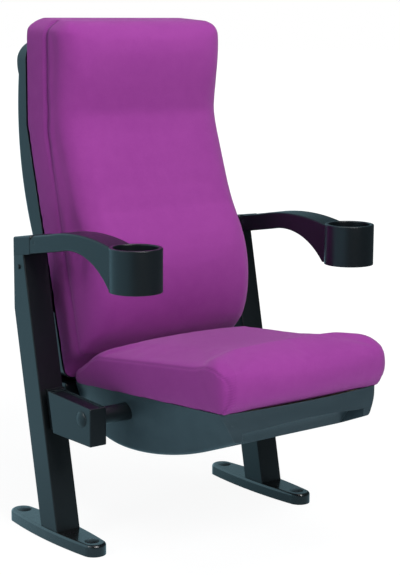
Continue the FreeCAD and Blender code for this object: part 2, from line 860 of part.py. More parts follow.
def build_pan():
    """Seat pan: a boat-shaped moulding with a finger recess under its front edge."""
    rim = S["rim_half_width"]
    keel = S["keel_half_width"]
    front = S["seat_front_y"] - 4
    rear = S["seat_rear_y"]
    depth = S["rim_front_z"] - S["belly_z"]
    wall = S["pan_wall"]
    reach = S["cut_reach"]

    def hull(label, inset):
        """The pan's outside, or the space inside it, a wall's thickness further in."""
        low = S["belly_z"] + inset
        stations = (
            (front, S["rim_front_z"] - S["pan_front_depth"] + inset),
            (front + 54, low + depth * 0.5),
            (front + 114, low + depth * 0.34),
            (front + 234, low + depth * 0.11),
            (front + 354, low),
            (rear - 96, low + depth * 0.03),
            (rear - 34, low + depth * 0.2),
            (rear + 2, low + depth * 0.46),
        )
        body = helper_body(label)
        high = S["rim_front_z"] + 6
        flare = rim + (rim - keel) * 0.06
        loft(body, [pan_section(y, flare - inset, keel - inset, z, high) for y, z in stations])
        keep_inside(body, "XY", seat_plan(inset, inset))
        round_edges(body, S["pan_edge"] - inset,
                    lambda e: runs(e)[1] > 200 and centre(e).z < S["rim_front_z"].value - 60)
        return body

    outer = hull("pan_outside", size(0))
    cut_slab(outer, "YZ", [
        (-reach, rim_z(-reach)),
        (reach, rim_z(reach)),
        (reach, reach),
        (-reach, reach),
    ], reach)
    cut_recess(outer, size(0))
    cut_disc(outer, "YZ", S["pivot_y"], S["pivot_z"], S["hub_width"] + S["part_gap"] * 2)
    for x, y in pillar_places():
        cut_disc(outer, "XY", x, y, S["screw_shank"] + S["slide_gap"] * 2)
        cut_disc(outer, "XY", x, y, S["screw_head"] + 2, board_under_z(y) - S["screw_bite"] * 2,
                 symmetric=False, reverse=True)
    inner = hull("pan_inside", wall)
    cut_recess(inner, wall)
    for x, y in pillar_places():
        cut_disc(inner, "XY", x, y, S["pillar_width"])
    low_y = S["seat_front_y"] + S["seat_front_bow"] + wall + 2
    high_y = rear - wall - 2
    gap = S["slide_gap"] + S["pillar_width"] / 2 * tangent(S["rim_slope"])
    slab(inner, "YZ", [
        (low_y, board_under_z(low_y) - gap),
        (high_y, board_under_z(high_y) - gap),
        (high_y, S["rim_front_z"] + 5),
        (low_y, S["rim_front_z"] + 5),
    ], (S["side_plate_x"] + S["side_plate"]) * 2)
    cut_from("seat_pan", outer, inner)


def build_seat_board():
    """Plywood board on which the cushion is upholstered."""
    board = sub_part("seat_board")
    edge = S["pan_wall"] + S["part_gap"] * 2
    low_front = S["seat_front_y"] + S["seat_front_bow"] + edge
    rear = S["seat_rear_y"] - S["pan_wall"] - S["part_gap"] * 3
    thick = S["board_thickness"]
    gap = S["slide_gap"]
    side_view = [
        (low_front, rim_z(low_front) - thick - gap),
        (rear, rim_z(rear) - thick - gap),
        (rear, rim_z(rear) - gap),
        (low_front, rim_z(low_front) - gap),
    ]
    slab(board, "YZ", side_view, (S["keel_half_width"] + 2) * 2)
    round_edges(board, S["seat_corner"], lambda e: runs(e)[2] > thick.value * 0.9 and runs(e)[1] < 0.1)
    for x, y in board_screw_places() + pillar_places():
        cut_disc(board, "XY", x, y, S["screw_shank"])


def board_screw_places():
    """Where the cushion board is screwed to the seat frame."""
    spots = []
    for across in (-1, 1):
        for y in rail_middles():
            spots.append((S["side_plate_x"] * 0.7 * across, y))
    return spots


def rail_middles():
    """The two cross rails' places, before and behind the pivot."""
    return S["pivot_y"] - 52, S["pivot_y"] + 62


def board_under_z(y):
    return rim_z(y) - S["board_thickness"] - S["slide_gap"]


def build_seat_frame():
    """Welded seat frame: two side plates joined by cross rails."""
    frame = sub_part("seat_frame")
    half = S["rail_width"] / 2
    plate = S["side_plate"]
    plate_x = S["side_plate_x"]
    for y in rail_middles():
        points = [
            (y - half, board_under_z(y - half) - S["rail_height"]),
            (y + half, board_under_z(y + half) - S["rail_height"]),
            (y + half, board_under_z(y + half)),
            (y - half, board_under_z(y - half)),
        ]
        slab(frame, "YZ", points, (plate_x + plate) * 2)
    front, rear = rail_middles()
    front = front - half
    rear = rear + half
    hub = S["hub_width"] / 2 + 5
    outline = [
        (rear, board_under_z(rear) - S["rail_height"]),
        (rear, board_under_z(rear)),
        (front, board_under_z(front)),
        (front, board_under_z(front) - S["rail_height"]),
        (S["pivot_y"] - hub, S["pivot_z"] - 4),
        (S["pivot_y"] + hub, S["pivot_z"] - 4, S["pivot_y"], S["pivot_z"] - hub),
    ]
    for side in (-1, 1):
        slab(frame, "YZ", outline, plate, (plate_x + plate / 2) * side)
    cut_disc(frame, "YZ", S["pivot_y"], S["pivot_z"], S["shaft_width"])
    for x, y in board_screw_places():
        cut_disc(frame, "XY", x, y, S["screw_shank"] + S["slide_gap"] * 2)


def screw_solid(seat, head, shank, length, axis):
    """A pan-head screw whose head rests at the given seat."""
    way = FreeCAD.Vector(*axis)
    spot = FreeCAD.Vector(*[size(value).value for value in seat])
    body = Part.makeCylinder(shank / 2, length, spot, way)
    cap = Part.makeCylinder(head / 2, head * 0.3, spot, way * -1)
    return body.fuse(cap).removeSplitter()


def build_screws(label, seats, head, shank, length, axis):
    """Equal screws that share one node."""
    return group(label, [screw_solid(seat, head, shank, length, axis) for seat in seats])


def build_seat_cushion():
    """Seat cushion, a plain solid of its real size: the soft shape is made with the fabric."""
    cushion = sub_part("seat_cushion")
    gap = S["slide_gap"]
    half = S["cushion_half_width"]
    nose = S["seat_front_y"] - S["cushion_nose"]
    seam_y = S["seat_front_y"] + 14
    top_front = S["seat_front_y"] + 86
    rear = S["cushion_rear_y"]
    shoulder = rear - 100
    foot_z = rim_z(rear) + gap
    slab(cushion, "YZ", [
        (rear, foot_z),
        (rear, foot_z + 21),
        (rear - 16, foot_z + 40, rear - 5, foot_z + 33),
        (rear - 50, foot_z + 62),
        (shoulder, cushion_top_z(shoulder), rear - 73, foot_z + 80),
        (top_front, cushion_top_z(top_front)),
        (nose, S["cushion_front_z"] - 40, nose + 17, S["cushion_front_z"] - 12),
        (seam_y, rim_z(seam_y) + gap, nose + 1, rim_z(nose) + 30),
    ], half * 2)
    front = S["seat_front_y"]
    keep_inside(cushion, "XY", [
        (half, rear + 5),
        (-half, rear + 5),
        (-half, front + 30),
        (-half + 32, front - 3, -half + 8, front + 7),
        (half - 32, front - 3, size(0), nose),
        (half, front + 30, half - 8, front + 7),
    ])


def back_outline(inset, top_z, bottom_z, corner):
    """The back from the front: upright sides with rounded corners, larger at the top."""
    half = S["back_half_width"] - inset
    in_by = corner * 0.293
    low = S["back_low_corner"]
    low_in = low * 0.293
    return [
        (half, top_z - corner),
        (half - corner, top_z, half - in_by, top_z - in_by),
        (-half + corner, top_z),
        (-half, top_z - corner, -half + in_by, top_z - in_by),
        (-half, bottom_z + low),
        (-half + low, bottom_z, -half + low_in, bottom_z + low_in),
        (half - low, bottom_z),
        (half, bottom_z + low, half - low_in, bottom_z + low_in),
    ]


def build_back_cushion():
    """Back cushion, a plain solid with the head and lumbar rolls of the real one. Its lower
    front falls back round the path of the seat's rear edge."""
    cushion = sub_part("back_cushion")
    top = S["back_top_z"]
    low = S["back_bottom_z"]
    gap = S["slide_gap"]
    knee_y = S["back_knee_y"] - gap
    knee_z = S["back_knee_z"]
    crown = S["back_knee_y"] - 160
    edge = S["back_cushion_edge"]
    front = S["back_front_y"]
    slab(cushion, "YZ", [
        (back_rear_y(low) - gap, low),
        (knee_y, knee_z),
        (knee_y, top - edge),
        (knee_y - edge, top, knee_y - edge * 0.29, top - edge * 0.29),
        (crown + 34, top),
        (crown, top - 52, crown + 9, top - 14),
        (crown + 14, top - 196, crown - 1, top - 114),
        (front + 44, low + 374),
        (front + 5, low + 118, front - 14, low + 226),
        (S["cushion_rear_y"] - 36, low + 66),
        (S["cushion_rear_y"] + 4, low + 34, S["cushion_rear_y"] - 12, low + 54),
        (S["cushion_rear_y"] + 16, low + 12),
    ], S["back_half_width"] * 2)
    keep_inside(cushion, "XZ", back_outline(size(0), top, low, S["back_corner"]))


def shell_profile(depth, top_z, bottom_z, ahead):
    """Side view of the space behind the cushion, which starts the given distance ahead of it."""
    knee_y = S["back_knee_y"]
    knee_z = S["back_knee_z"]
    low_y = back_rear_y(bottom_z)
    return [
        (low_y - ahead, bottom_z),
        (low_y + depth * 1.15, bottom_z),
        (back_rear_y(knee_z - 240) + depth * 1.3, knee_z - 240),
        (knee_y + depth * 0.88, top_z - 56, knee_y + depth * 1.07, knee_z + 30),
        (knee_y + depth * 0.2, top_z, knee_y + depth * 0.62, top_z - 17),
        (knee_y - ahead, top_z),
        (knee_y - ahead, knee_z),
    ]


def shell_screw_places():
    """Where the shell is screwed to the back frame's uprights, as x and height."""
    spots = []
    for across in (-1, 1):
        for z in (S["back_bottom_z"] + 252, S["back_knee_z"] + 30):
            spots.append((S["upright_x"] * across, z))
    return spots


def screw_seat_y(z):
    """Floor of the shell's screw recess, a pillar's thickness behind the frame."""
    behind = back_rear_y(z) if z.value < S["back_knee_z"].value else S["back_knee_y"]
    return behind + S["back_board"] + S["frame_tube"] + 6


def build_back_shell():
    """Moulded rear shell: a shallow tray with rounded rear edges and screw pillars inside."""
    top = S["back_top_z"] - S["shell_top_drop"]
    low = S["back_bottom_z"] + 6
    wall = S["shell_wall"]

    def tray(label, inset, ahead):
        body = helper_body(label)
        slab(body, "YZ", shell_profile(S["shell_depth"] - inset, top - inset, low + inset, ahead),
             S["back_half_width"] * 2)
        keep_inside(body, "XZ", back_outline(S["shell_inset"] + inset, top - inset, low + inset,
                                              S["shell_corner"] - inset))
        return body

    outer = tray("shell_outside", size(0), size(0))
    half = (S["back_half_width"] - S["shell_inset"]).value

    def rear_edge(edge):
        middle = centre(edge)
        behind = middle.y > back_rear_y(min(middle.z, S["back_knee_z"].value)).value + 6
        return behind and abs(middle.x) > half - 0.01 and runs(edge)[2] > 30

    round_edges(outer, S["shell_depth"] * 0.3, rear_edge)
    for x, z in shell_screw_places():
        cut_disc(outer, "XZ", x, z, S["screw_shank"] + S["slide_gap"] * 2)
        cut_disc(outer, "XZ", x, z, S["screw_head"] + 2, S["cut_reach"], -screw_seat_y(z),
                 symmetric=False)
    inner = tray("shell_inside", wall, size(1))
    for x, z in shell_screw_places():
        cut_disc(inner, "XZ", x, z, S["pillar_width"])
    gap = S["slide_gap"]
    stack = S["back_board"] + S["frame_tube"] + gap
    slab(inner, "YZ", back_band(size(-1), stack + 1, low + 20, top - 60), (S["upright_x"] + 30) * 2)
    tall = S["back_bracket_height"] / 2 + gap
    middle = S["back_bracket_z"]
    reach = stack + S["back_bracket_plate"] + gap
    slab(inner, "YZ", [
        (back_rear_y(middle - tall) - 1, middle - tall),
        (back_rear_y(middle - tall) + reach, middle - tall),
        (back_rear_y(middle + tall) + reach, middle + tall),
        (back_rear_y(middle + tall) - 1, middle + tall),
    ], S["back_half_width"] * 2)
    cut_from("back_shell", outer, inner)


def back_band(start, thickness, low_z, high_z):
    """A band that follows the back's bend: start is its distance behind the cushion."""
    knee_y = S["back_knee_y"]
    knee_z = S["back_knee_z"]
    return [
        (back_rear_y(low_z) + start, low_z),
        (back_rear_y(low_z) + start + thickness, low_z),
        (knee_y + start + thickness, knee_z),
        (knee_y + start + thickness, high_z),
        (knee_y + start, high_z),
        (knee_y + start, knee_z),
    ]


def build_back_board():
    """Moulded plywood board that carries the back foam."""
    board = sub_part("back_board")
    low = S["back_bottom_z"] + 24
    high = S["back_top_z"] - S["shell_top_drop"] - 30
    slab(board, "YZ", back_band(size(0), S["back_board"], low, high), back_board_half * 2)
    keep_inside(board, "XZ", back_outline(S["back_board_margin"], high, low,
                                          S["back_corner"]))


def build_back_frame():
    """Welded tube frame behind the board."""
    frame = sub_part("back_frame")
    low = S["back_bottom_z"] + 92
    high = S["back_knee_z"] + 66
    band = back_band(S["back_board"], S["frame_tube"], low, high)
    for side in (-1, 1):
        slab(frame, "YZ", band, S["upright_width"], S["upright_x"] * side)
    tall = S["back_bracket_height"] / 2
    middle = S["back_bracket_z"]
    start = S["back_board"]
    tube = S["frame_tube"]
    lower = [
        (back_rear_y(middle - tall) + start, middle - tall),
        (back_rear_y(middle - tall) + start + tube, middle - tall),
        (back_rear_y(middle + tall) + start + tube, middle + tall),
        (back_rear_y(middle + tall) + start, middle + tall),
    ]
    slab(frame, "YZ", lower, S["upright_x"] * 2 + S["upright_width"])
    upper = box_points(S["back_knee_y"] + start, S["back_knee_y"] + start + tube, high - 40, high)
    slab(frame, "YZ", upper, S["upright_x"] * 2)
    for x, z in shell_screw_places() + back_bolt_places():
        cut_disc(frame, "XZ", x, z, S["screw_shank"])


def back_bolt_places():
    """Where the back frame's uprights are bolted to the brackets, as x and height."""
    spots = []
    for across in (-1, 1):
        for up in (-1, 1):
            spots.append((S["upright_x"] * across, S["back_bracket_z"] + S["back_bracket_height"] * 0.27 * up))
    return spots


def build_back_bracket(name, side):
    """Steel angle that carries the back from the stanchion's inner face."""
    bracket = sub_part(name + "_back_bracket")
    plate = S["back_bracket_plate"]
    tall = S["back_bracket_height"] / 2
    middle = S["back_bracket_z"]
    inner_face = S["leg_x"] - leg_half
    start = S["back_board"] + S["frame_tube"]

    def rear(z):
        return back_rear_y(z) + start

    flange_front = S["leg_rear_y"] - 46
    flange = [
        (flange_front, middle - tall),
        (rear(middle - tall) + plate, middle - tall),
        (rear(middle + tall) + plate, middle + tall),
        (flange_front, middle + tall),
    ]
    slab(bracket, "YZ", flange, plate, (inner_face - plate / 2) * side)
    web = [
        (rear(middle - tall), middle - tall),
        (rear(middle - tall) + plate, middle - tall),
        (rear(middle + tall) + plate, middle + tall),
        (rear(middle + tall), middle + tall),
    ]
    web_inner = S["upright_x"] - S["upright_width"]
    slab(bracket, "YZ", web, inner_face - web_inner, (inner_face + web_inner) / 2 * side)
    for x, z in back_bolt_places():
        if (x.value > 0) == (side > 0):
            cut_disc(bracket, "XZ", x, z, S["screw_shank"] + S["slide_gap"] * 2)


def block_screw_place():
    """Where the armrest block's spigot is screwed to the stanchion, in the side view."""
    return S["leg_rear_y"] - 20, S["arm_rear_under_z"] - S["spigot_depth"] / 2


def build_arm_block(name, side):
    """Fixed rear block of the armrest, on a spigot in the stanchion's top."""
    block = sub_part(name + "_arm_block")
    rear = S["leg_rear_y"]
    seam = S["seam_y"]
    corners = [
        (rear, arm_under_z(rear)),
        (rear, arm_top_z(rear)),
        (seam + 5, arm_top_z(seam + 5)),
        (seam, arm_top_z(seam) - 5, seam + 1.5, arm_top_z(seam) - 1.5),
        (seam, arm_under_z(seam)),
    ]
    slab(block, "YZ", corners, S["arm_width"])
    edge_x = S["arm_width"].value / 2
    round_edges(block, S["arm_edge"], lambda e: abs(abs(centre(e).x) - edge_x) < 0.01 and
                centre(e).z > arm_top_z(rear).value - 1 and runs(e)[1] > 20)
    tongue = S["tongue_width"] - S["part_gap"] * 2
    knuckle = S["knuckle_radius"]
    slab(block, "YZ", [
        (seam + 8, S["hinge_z"] - knuckle),
        (seam + 8, S["hinge_z"] + knuckle - 1.2),
        (S["hinge_y"], S["hinge_z"] + knuckle),
        (S["hinge_y"], S["hinge_z"] - knuckle, S["hinge_y"] - knuckle, S["hinge_z"]),
    ], tongue)
    cut_disc(block, "YZ", S["hinge_y"], S["hinge_z"], S["hinge_pin"])
    gap = S["part_gap"]
    wall = S["leg_wall"]
    spigot_rear = rear - wall - gap
    lean = tangent(S["leg_lean"])
    spigot_front = S["leg_front_y"] + (wall + gap) / cosine(S["leg_lean"]) + lean * (arm_under_z(rear) - S["foot_height"])
    spigot = [
        (spigot_rear, arm_under_z(spigot_rear) + 1),
        (spigot_front + 3, arm_under_z(spigot_front) + 1),
        (spigot_front + 3 - lean * S["spigot_depth"], arm_under_z(spigot_front) - S["spigot_depth"]),
        (spigot_rear, arm_under_z(rear) - S["spigot_depth"]),
    ]
    over_leg = (S["leg_x"] - arm_x) * side
    slab(block, "YZ", spigot, S["leg_width"] - wall * 2 - gap * 2, over_leg)
    cut_disc(block, "YZ", *block_screw_place(), S["screw_shank"])
    place(block, arm_x * side)


def build_armrest(name, side):
    """Moulded armrest that arches forward into a deep cup holder."""
    arm = sub_part(name + "_armrest")
    seam = S["seam_y"] - S["seam_gap"]
    knuckle = S["hinge_y"] + S["knuckle_radius"]
    bend_top = S["hinge_y"] - 51
    bend_under = S["hinge_y"] - 96
    cup_rear = S["cup_y"] + S["cup_radius"] - 14
    profile = [
        (seam, arm_under_z(seam)),
        (seam, S["hinge_z"]),
        (S["hinge_y"], arm_top_z(S["hinge_y"]) - 0.6,
         S["hinge_y"] + S["knuckle_radius"] * 0.7, S["hinge_z"] + S["knuckle_radius"] * 0.7),
        (bend_top, arm_top_z(bend_top)),
        (cup_rear, S["cup_rim_z"] - 6, (bend_top + cup_rear) / 2 - 6, S["arm_crest_z"]),
        (S["cup_y"], S["cup_rim_z"] - 8),
        (S["cup_y"], S["cup_bottom_z"]),
        (cup_rear + 17, S["cup_bottom_z"]),
        (bend_under, arm_under_z(bend_under), bend_under - 95, arm_under_z(bend_under) - 4.5),
    ]
    slab(arm, "YZ", profile, S["arm_width"])
    disc(arm, "XY", 0, S["cup_y"], S["cup_radius"] * 2, S["cup_rim_z"] - S["cup_bottom_z"], S["cup_bottom_z"])
    half = S["arm_width"].value / 2
    cup_line = S["cup_y"].value + math.sqrt(S["cup_radius"].value ** 2 - half ** 2)

    def junction(edge):
        middle = centre(edge)
        return abs(abs(middle.x) - half) < 0.1 and abs(middle.y - cup_line) < 1 and runs(edge)[2] > 30

    round_edges(arm, S["arm_edge"] * 2, junction)

    def long_edge(edge):
        middle = centre(edge)
        return abs(abs(middle.x) - half) < 0.1 and runs(edge)[1] > 60

    round_edges(arm, S["arm_edge"], long_edge)
    cut_disc(arm, "XY", 0, S["cup_y"], (S["cup_radius"] - S["cup_wall"]) * 2, S["cup_rim_z"] - S["cup_bottom_z"] - S["cup_floor"],
             S["cup_rim_z"], symmetric=False)
    rim = S["cup_rim_z"].value
    round_edges(arm, S["cup_wall"] * 0.25, lambda e: abs(centre(e).z - rim) < 0.01 and runs(e)[2] < 0.01)
    slot = S["knuckle_radius"] + S["part_gap"] * 2
    cut_slab(arm, "YZ", [
        (S["hinge_y"] + slot * 3, S["hinge_z"] - slot),
        (S["hinge_y"] + slot * 3, S["hinge_z"] + slot * 3),
        (S["hinge_y"] - slot, S["hinge_z"] + slot * 3),
        (S["hinge_y"] - slot, S["hinge_z"]),
        (S["hinge_y"], S["hinge_z"] - slot, S["hinge_y"] - slot * 0.7071, S["hinge_z"] - slot * 0.7071),
    ], S["tongue_width"])
    cut_disc(arm, "YZ", S["hinge_y"], S["hinge_z"], S["hinge_pin"] + S["running_fit"] * 2)
    place(arm, arm_x * side)
    return arm


def build_hinge_pin(name, side):
    """Pin of the lift-up armrest."""
    pin = doc.addObject("Part::Cylinder", name + "_arm_hinge_pin")
    pin.Label = name + "_arm_hinge_pin"
    bind(pin, "Radius", S["hinge_pin"] / 2)
    long = S["arm_width"] - S["part_gap"] * 2
    bind(pin, "Height", long)
    place(pin, arm_x * side - long / 2, S["hinge_y"], S["hinge_z"], (0, 1, 0), 90)
    made.append(pin)


def build_plugs():
    """Domed plugs over the floor anchors."""
    plugs = []
    radius = S["plug_width"].value / 2
    dome = S["plug_dome"].value
    base = S["foot_height"].value - S["plug_seat"].value
    ball = (radius * radius + dome * dome) / (dome * 2)
    for name, side in SIDES:
        for end in (-1, 1):
            spot = FreeCAD.Vector(S["leg_x"].value * side, S["anchor_pitch"].value / 2 * end, base)
            disc_part = Part.makeCylinder(radius, S["plug_seat"].value + dome, spot)
            middle = spot + FreeCAD.Vector(0, 0, S["plug_seat"].value + dome - ball)
            plugs.append(disc_part.common(Part.makeSphere(ball, middle)))
    group("foot_plugs", plugs)


def build_fixings():
    """The screws and bolts that hold the board, pan, back, shell and armrest blocks."""
    head = S["screw_head"].value
    shank = S["screw_shank"].value
    bite = S["screw_bite"].value
    slope = math.tan(math.radians(S["rim_slope"].value))
    seats = [(x, y, board_under_z(y) - S["rail_height"] - 0.2 - head / 2 * slope)
             for x, y in board_screw_places()]
    build_screws("board_screws", seats, head, shank, S["rail_height"].value + bite, (0, 0, 1))
    seats = [(x, y, board_under_z(y) - bite * 2) for x, y in pillar_places()]
    build_screws("pan_screws", seats, head, shank, bite * 3, (0, 0, 1))
    seats = [(x, screw_seat_y(z), z) for x, z in shell_screw_places()]
    build_screws("shell_screws", seats, head, shank, bite * 2, (0, -1, 0))
    lean = (back_rear_y(1) - back_rear_y(0)).value
    seats = [(x, back_rear_y(z) + S["back_board"] + S["frame_tube"] + S["back_bracket_plate"] + 0.2 + head / 2 * lean, z)
             for x, z in back_bolt_places()]
    build_screws("back_bolts", seats, head, shank, bite * 2, (0, -1, 0))
    for name, side in SIDES:
        y, z = block_screw_place()
        screws = []
        for face in (-1, 1):
            x = S["leg_x"] * side + leg_half * face
            screws.append(screw_solid((x, y, z), head, shank, bite * 1.5, (-face, 0, 0)))
        group(name + "_block_screws", screws)


for side_name, side_sign in SIDES:
    build_foot(side_name, side_sign)
    build_stanchion(side_name, side_sign)
    build_bracket(side_name, side_sign)
    build_bracket_bolts(side_name, side_sign)
    build_cover(side_name, side_sign)
    build_pivot(side_name, side_sign)
    build_back_bracket(side_name, side_sign)
    build_arm_block(side_name, side_sign)
    build_armrest(side_name, side_sign)
    build_hinge_pin(side_name, side_sign)
build_plugs()
build_pan()
build_seat_board()
build_seat_frame()
build_seat_cushion()
build_back_cushion()
build_back_shell()
build_back_board()
build_back_frame()
build_fixings()

doc.recompute()
faults = []
for item in doc.Objects:
    if "Invalid" in item.State or "Error" in item.State:
        faults.append("%s: %s" % (item.Label, item.State))
for item in made:
    if item.Shape.isNull() or not item.Shape.isValid():
        faults.append("%s: shape null or not valid" % item.Label)
if faults:
    raise RuntimeError("; ".join(faults))

os.makedirs("parts", exist_ok=True)
for item in made:
    item.Shape.exportStep(os.path.join("parts", item.Label + ".step"))
    print(item.Label, "solids", len(item.Shape.Solids), "volume", round(item.Shape.Volume / 1000, 1), "cm3")
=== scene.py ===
from math import cos, pi, radians, sin

import bmesh
import bpy
import numpy as np
from mathutils import Matrix, Vector


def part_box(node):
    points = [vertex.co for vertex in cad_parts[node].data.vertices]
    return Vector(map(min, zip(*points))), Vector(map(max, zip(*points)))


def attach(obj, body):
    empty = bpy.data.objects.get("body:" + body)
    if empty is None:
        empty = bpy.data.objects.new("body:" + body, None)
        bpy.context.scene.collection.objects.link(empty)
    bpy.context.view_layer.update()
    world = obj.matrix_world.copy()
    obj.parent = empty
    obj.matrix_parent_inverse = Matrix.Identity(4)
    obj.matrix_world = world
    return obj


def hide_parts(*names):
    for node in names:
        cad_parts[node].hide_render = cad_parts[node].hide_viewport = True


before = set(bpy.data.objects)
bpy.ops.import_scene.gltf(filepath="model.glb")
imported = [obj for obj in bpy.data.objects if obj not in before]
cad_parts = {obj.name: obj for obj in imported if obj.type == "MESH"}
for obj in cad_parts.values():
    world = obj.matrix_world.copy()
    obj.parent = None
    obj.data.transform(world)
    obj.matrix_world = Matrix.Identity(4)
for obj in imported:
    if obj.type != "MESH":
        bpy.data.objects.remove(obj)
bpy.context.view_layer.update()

scene = bpy.context.scene
bpy.ops.object.select_all(action="DESELECT")

# The view: the seat stands on a plain pale floor and is seen from its front right corner,
# from the height of a standing person's chest and a few metres away, with a long lens.

CAMERA_PLACE = Vector((-1.98596, -2.63904, 1.09433))
CAMERA_TURN = radians(-38.327)
CAMERA_FALL = radians(10.154)
CAMERA_ROLL = radians(0.309)
CAMERA_LENS = 97.02

toward_camera = Vector(
    (sin(CAMERA_TURN) * cos(CAMERA_FALL), -cos(CAMERA_TURN) * cos(CAMERA_FALL), sin(CAMERA_FALL))
)
level_right = Vector((cos(CAMERA_TURN), sin(CAMERA_TURN), 0))
level_up = toward_camera.cross(level_right)
camera_right = level_right * cos(CAMERA_ROLL) + level_up * sin(CAMERA_ROLL)
camera_up = level_up * cos(CAMERA_ROLL) - level_right * sin(CAMERA_ROLL)

camera = bpy.data.objects.new("camera", bpy.data.cameras.new("camera"))
scene.collection.objects.link(camera)
camera_axes = Matrix((camera_right, camera_up, toward_camera)).transposed().to_4x4()
camera.matrix_world = Matrix.Translation(CAMERA_PLACE) @ camera_axes
camera.data.lens = CAMERA_LENS
scene.camera = camera
scene.view_settings.view_transform = "Standard"

# The studio: a big soft lamp high in front, a weaker one on the left and one overhead.
# Walls and floor are white to the camera. In glossy surfaces they are bright on the left and
# at the back and dark in front, as a white sheet and a dark room are.

AIM = Vector((0, -0.1, 0.55))
LAMPS = {
    "key_lamp": {"spot": (-0.5, -3.1, 2.6), "width": 1.5, "power": 80},
    "side_lamp": {"spot": (-2.7, -0.1, 2.4), "width": 1.4, "power": 20},
    "top_lamp": {"spot": (0.2, -0.6, 3.1), "width": 1.8, "power": 34},
}
BRIGHT_SIDE = (-0.62, 0.78, 0.0)
WHITE = (1, 1, 1, 1)
ROOM_AIR = (0.90, 0.95, 1.0, 1)
SHEET_BLUE = (0.50, 0.85, 1.0, 1)
FLOOR_BLUE = (0.42, 0.82, 1.0, 1)
ROOM_GLOW = 0.22
SHEET_GLOW = 1.15
DARK_GLOW = 0.08
FLOOR_RADIUS = 40
FLOOR_DROP = 0.0005
FLOOR_GLOW = 1.09
FLOOR_SHEET_GLOW = 0.95
FLOOR_MIRROR = 0.85
SHADOW_RING = (0.9, 2.4)
SHADOW_SHARE = 0.16


class Field:
    """A number that varies over a surface. Arithmetic on it adds Math nodes."""

    def __init__(self, finish, socket):
        self.finish = finish
        self.socket = socket

    def maths(self, operation, *terms):
        return self.finish.node("ShaderNodeMath", {"operation": operation}, dict(enumerate(terms)))

    def __add__(self, other):
        return self.maths("ADD", self, other)

    def __radd__(self, other):
        return self.maths("ADD", other, self)

    def __sub__(self, other):
        return self.maths("SUBTRACT", self, other)

    def __rsub__(self, other):
        return self.maths("SUBTRACT", other, self)

    def __mul__(self, other):
        return self.maths("MULTIPLY", self, other)

    def __abs__(self):
        return self.maths("ABSOLUTE", self)

    def sine(self):
        return self.maths("SINE", self)

    def within(self, low, high):
        """0 at low and below, 1 at high and above, and even between them."""
        ends = {0: self, 1: low, 2: high, 3: 0.0, 4: 1.0}
        return self.finish.node("ShaderNodeMapRange", {"clamp": True}, ends)


class Finish:
    """A material, and the nodes that draw it."""

    def __init__(self, name, constants=(), stage=False):
        self.material = bpy.data.materials.new(name) if not stage else None
        holder = self.material or scene.world
        holder.use_nodes = True
        self.tree = holder.node_tree
        self.shader = self.tree.nodes.get("Principled BSDF")
        for socket, value in dict(constants).items():
            self.shader.inputs[socket].default_value = value

    def feed(self, socket, value):
        if isinstance(value, Field):
            self.tree.links.new(value.socket, socket)
        else:
            socket.default_value = value

    def node(self, kind, settings=(), inputs=(), output=0):
        """Adds a node, sets what it is, then feeds its sockets."""
        made = self.tree.nodes.new(kind)
        for name, value in dict(settings).items():
            setattr(made, name, value)
        for name, value in dict(inputs).items():
            self.feed(made.inputs[name], value)
        return Field(self, made.outputs[output])

    def mix(self, share, first, second):
        """A shader between two shaders."""
        made = self.node("ShaderNodeMixShader", inputs={0: share})
        self.feed(made.socket.node.inputs[1], first)
        self.feed(made.socket.node.inputs[2], second)
        return made

    def place(self, axis=None):
        """Where a point is on the piece, in metres: all of it, or one axis."""
        spot = self.node("ShaderNodeTexCoord", output="Object")
        if axis is None:
            return spot
        return self.node("ShaderNodeSeparateXYZ", inputs={0: spot}, output=axis)

    def noise(self, scale, detail=2.0, rough=0.5, spot=None):
        return self.node(
            "ShaderNodeTexNoise",
            inputs={"Vector": spot or self.place(), "Scale": scale, "Detail": detail, "Roughness": rough},
            output="Fac",
        )

    def blend(self, share, first, second):
        """A colour between two colours."""
        return self.node("ShaderNodeMix", {"data_type": "RGBA"}, {0: share, 6: first, 7: second}, 2)

    def bump(self, height, strength, depth, normal=None):
        inputs = {"Height": height, "Strength": strength, "Distance": depth}
        if normal is not None:
            inputs["Normal"] = normal
        return self.node("ShaderNodeBump", inputs=inputs)

    def eased_edges(self, radius):
        """The surface's direction with its sharp edges eased to a small radius."""
        return self.node("ShaderNodeBevel", {"samples": 4}, {"Radius": radius})

    def edge_share(self, eased):
        """1 on an edge, 0 away from it."""
        true = self.node("ShaderNodeNewGeometry", output="Normal")
        along = self.node("ShaderNodeVectorMath", {"operation": "DOT_PRODUCT"}, {0: eased, 1: true}, "Value")
        return (1 - along).within(0.01, 0.2)

    def set(self, **values):
        """Feeds the shader's sockets, named with underscores."""
        for name, value in values.items():
            self.feed(self.shader.inputs[name.replace("_", " ")], value)


scene.world = bpy.data.worlds.new("studio")
studio = Finish("studio", stage=True)
seen = studio.node("ShaderNodeLightPath", output="Is Camera Ray")
mirrored = studio.node("ShaderNodeLightPath", output="Is Glossy Ray")
through = studio.node("ShaderNodeLightPath", output="Is Transmission Ray")
wall_dim = Field(studio, studio.tree.nodes["Background"].outputs[0])
wall_dim.socket.node.inputs["Color"].default_value = ROOM_AIR
wall_dim.socket.node.inputs["Strength"].default_value = ROOM_GLOW
wall_sheet = studio.node("ShaderNodeBackground", inputs={"Color": SHEET_BLUE, "Strength": SHEET_GLOW})
wall_dark = studio.node("ShaderNodeBackground", inputs={"Color": SHEET_BLUE, "Strength": DARK_GLOW})
wall_white = studio.node("ShaderNodeBackground", inputs={"Color": WHITE, "Strength": 1.0})
way = studio.node("ShaderNodeTexCoord", output="Generated")
toward = studio.node("ShaderNodeVectorMath", {"operation": "DOT_PRODUCT"}, {0: way, 1: BRIGHT_SIDE}, "Value")
wall_glint = studio.mix(toward.within(0.0, 0.8), wall_dark, wall_sheet)
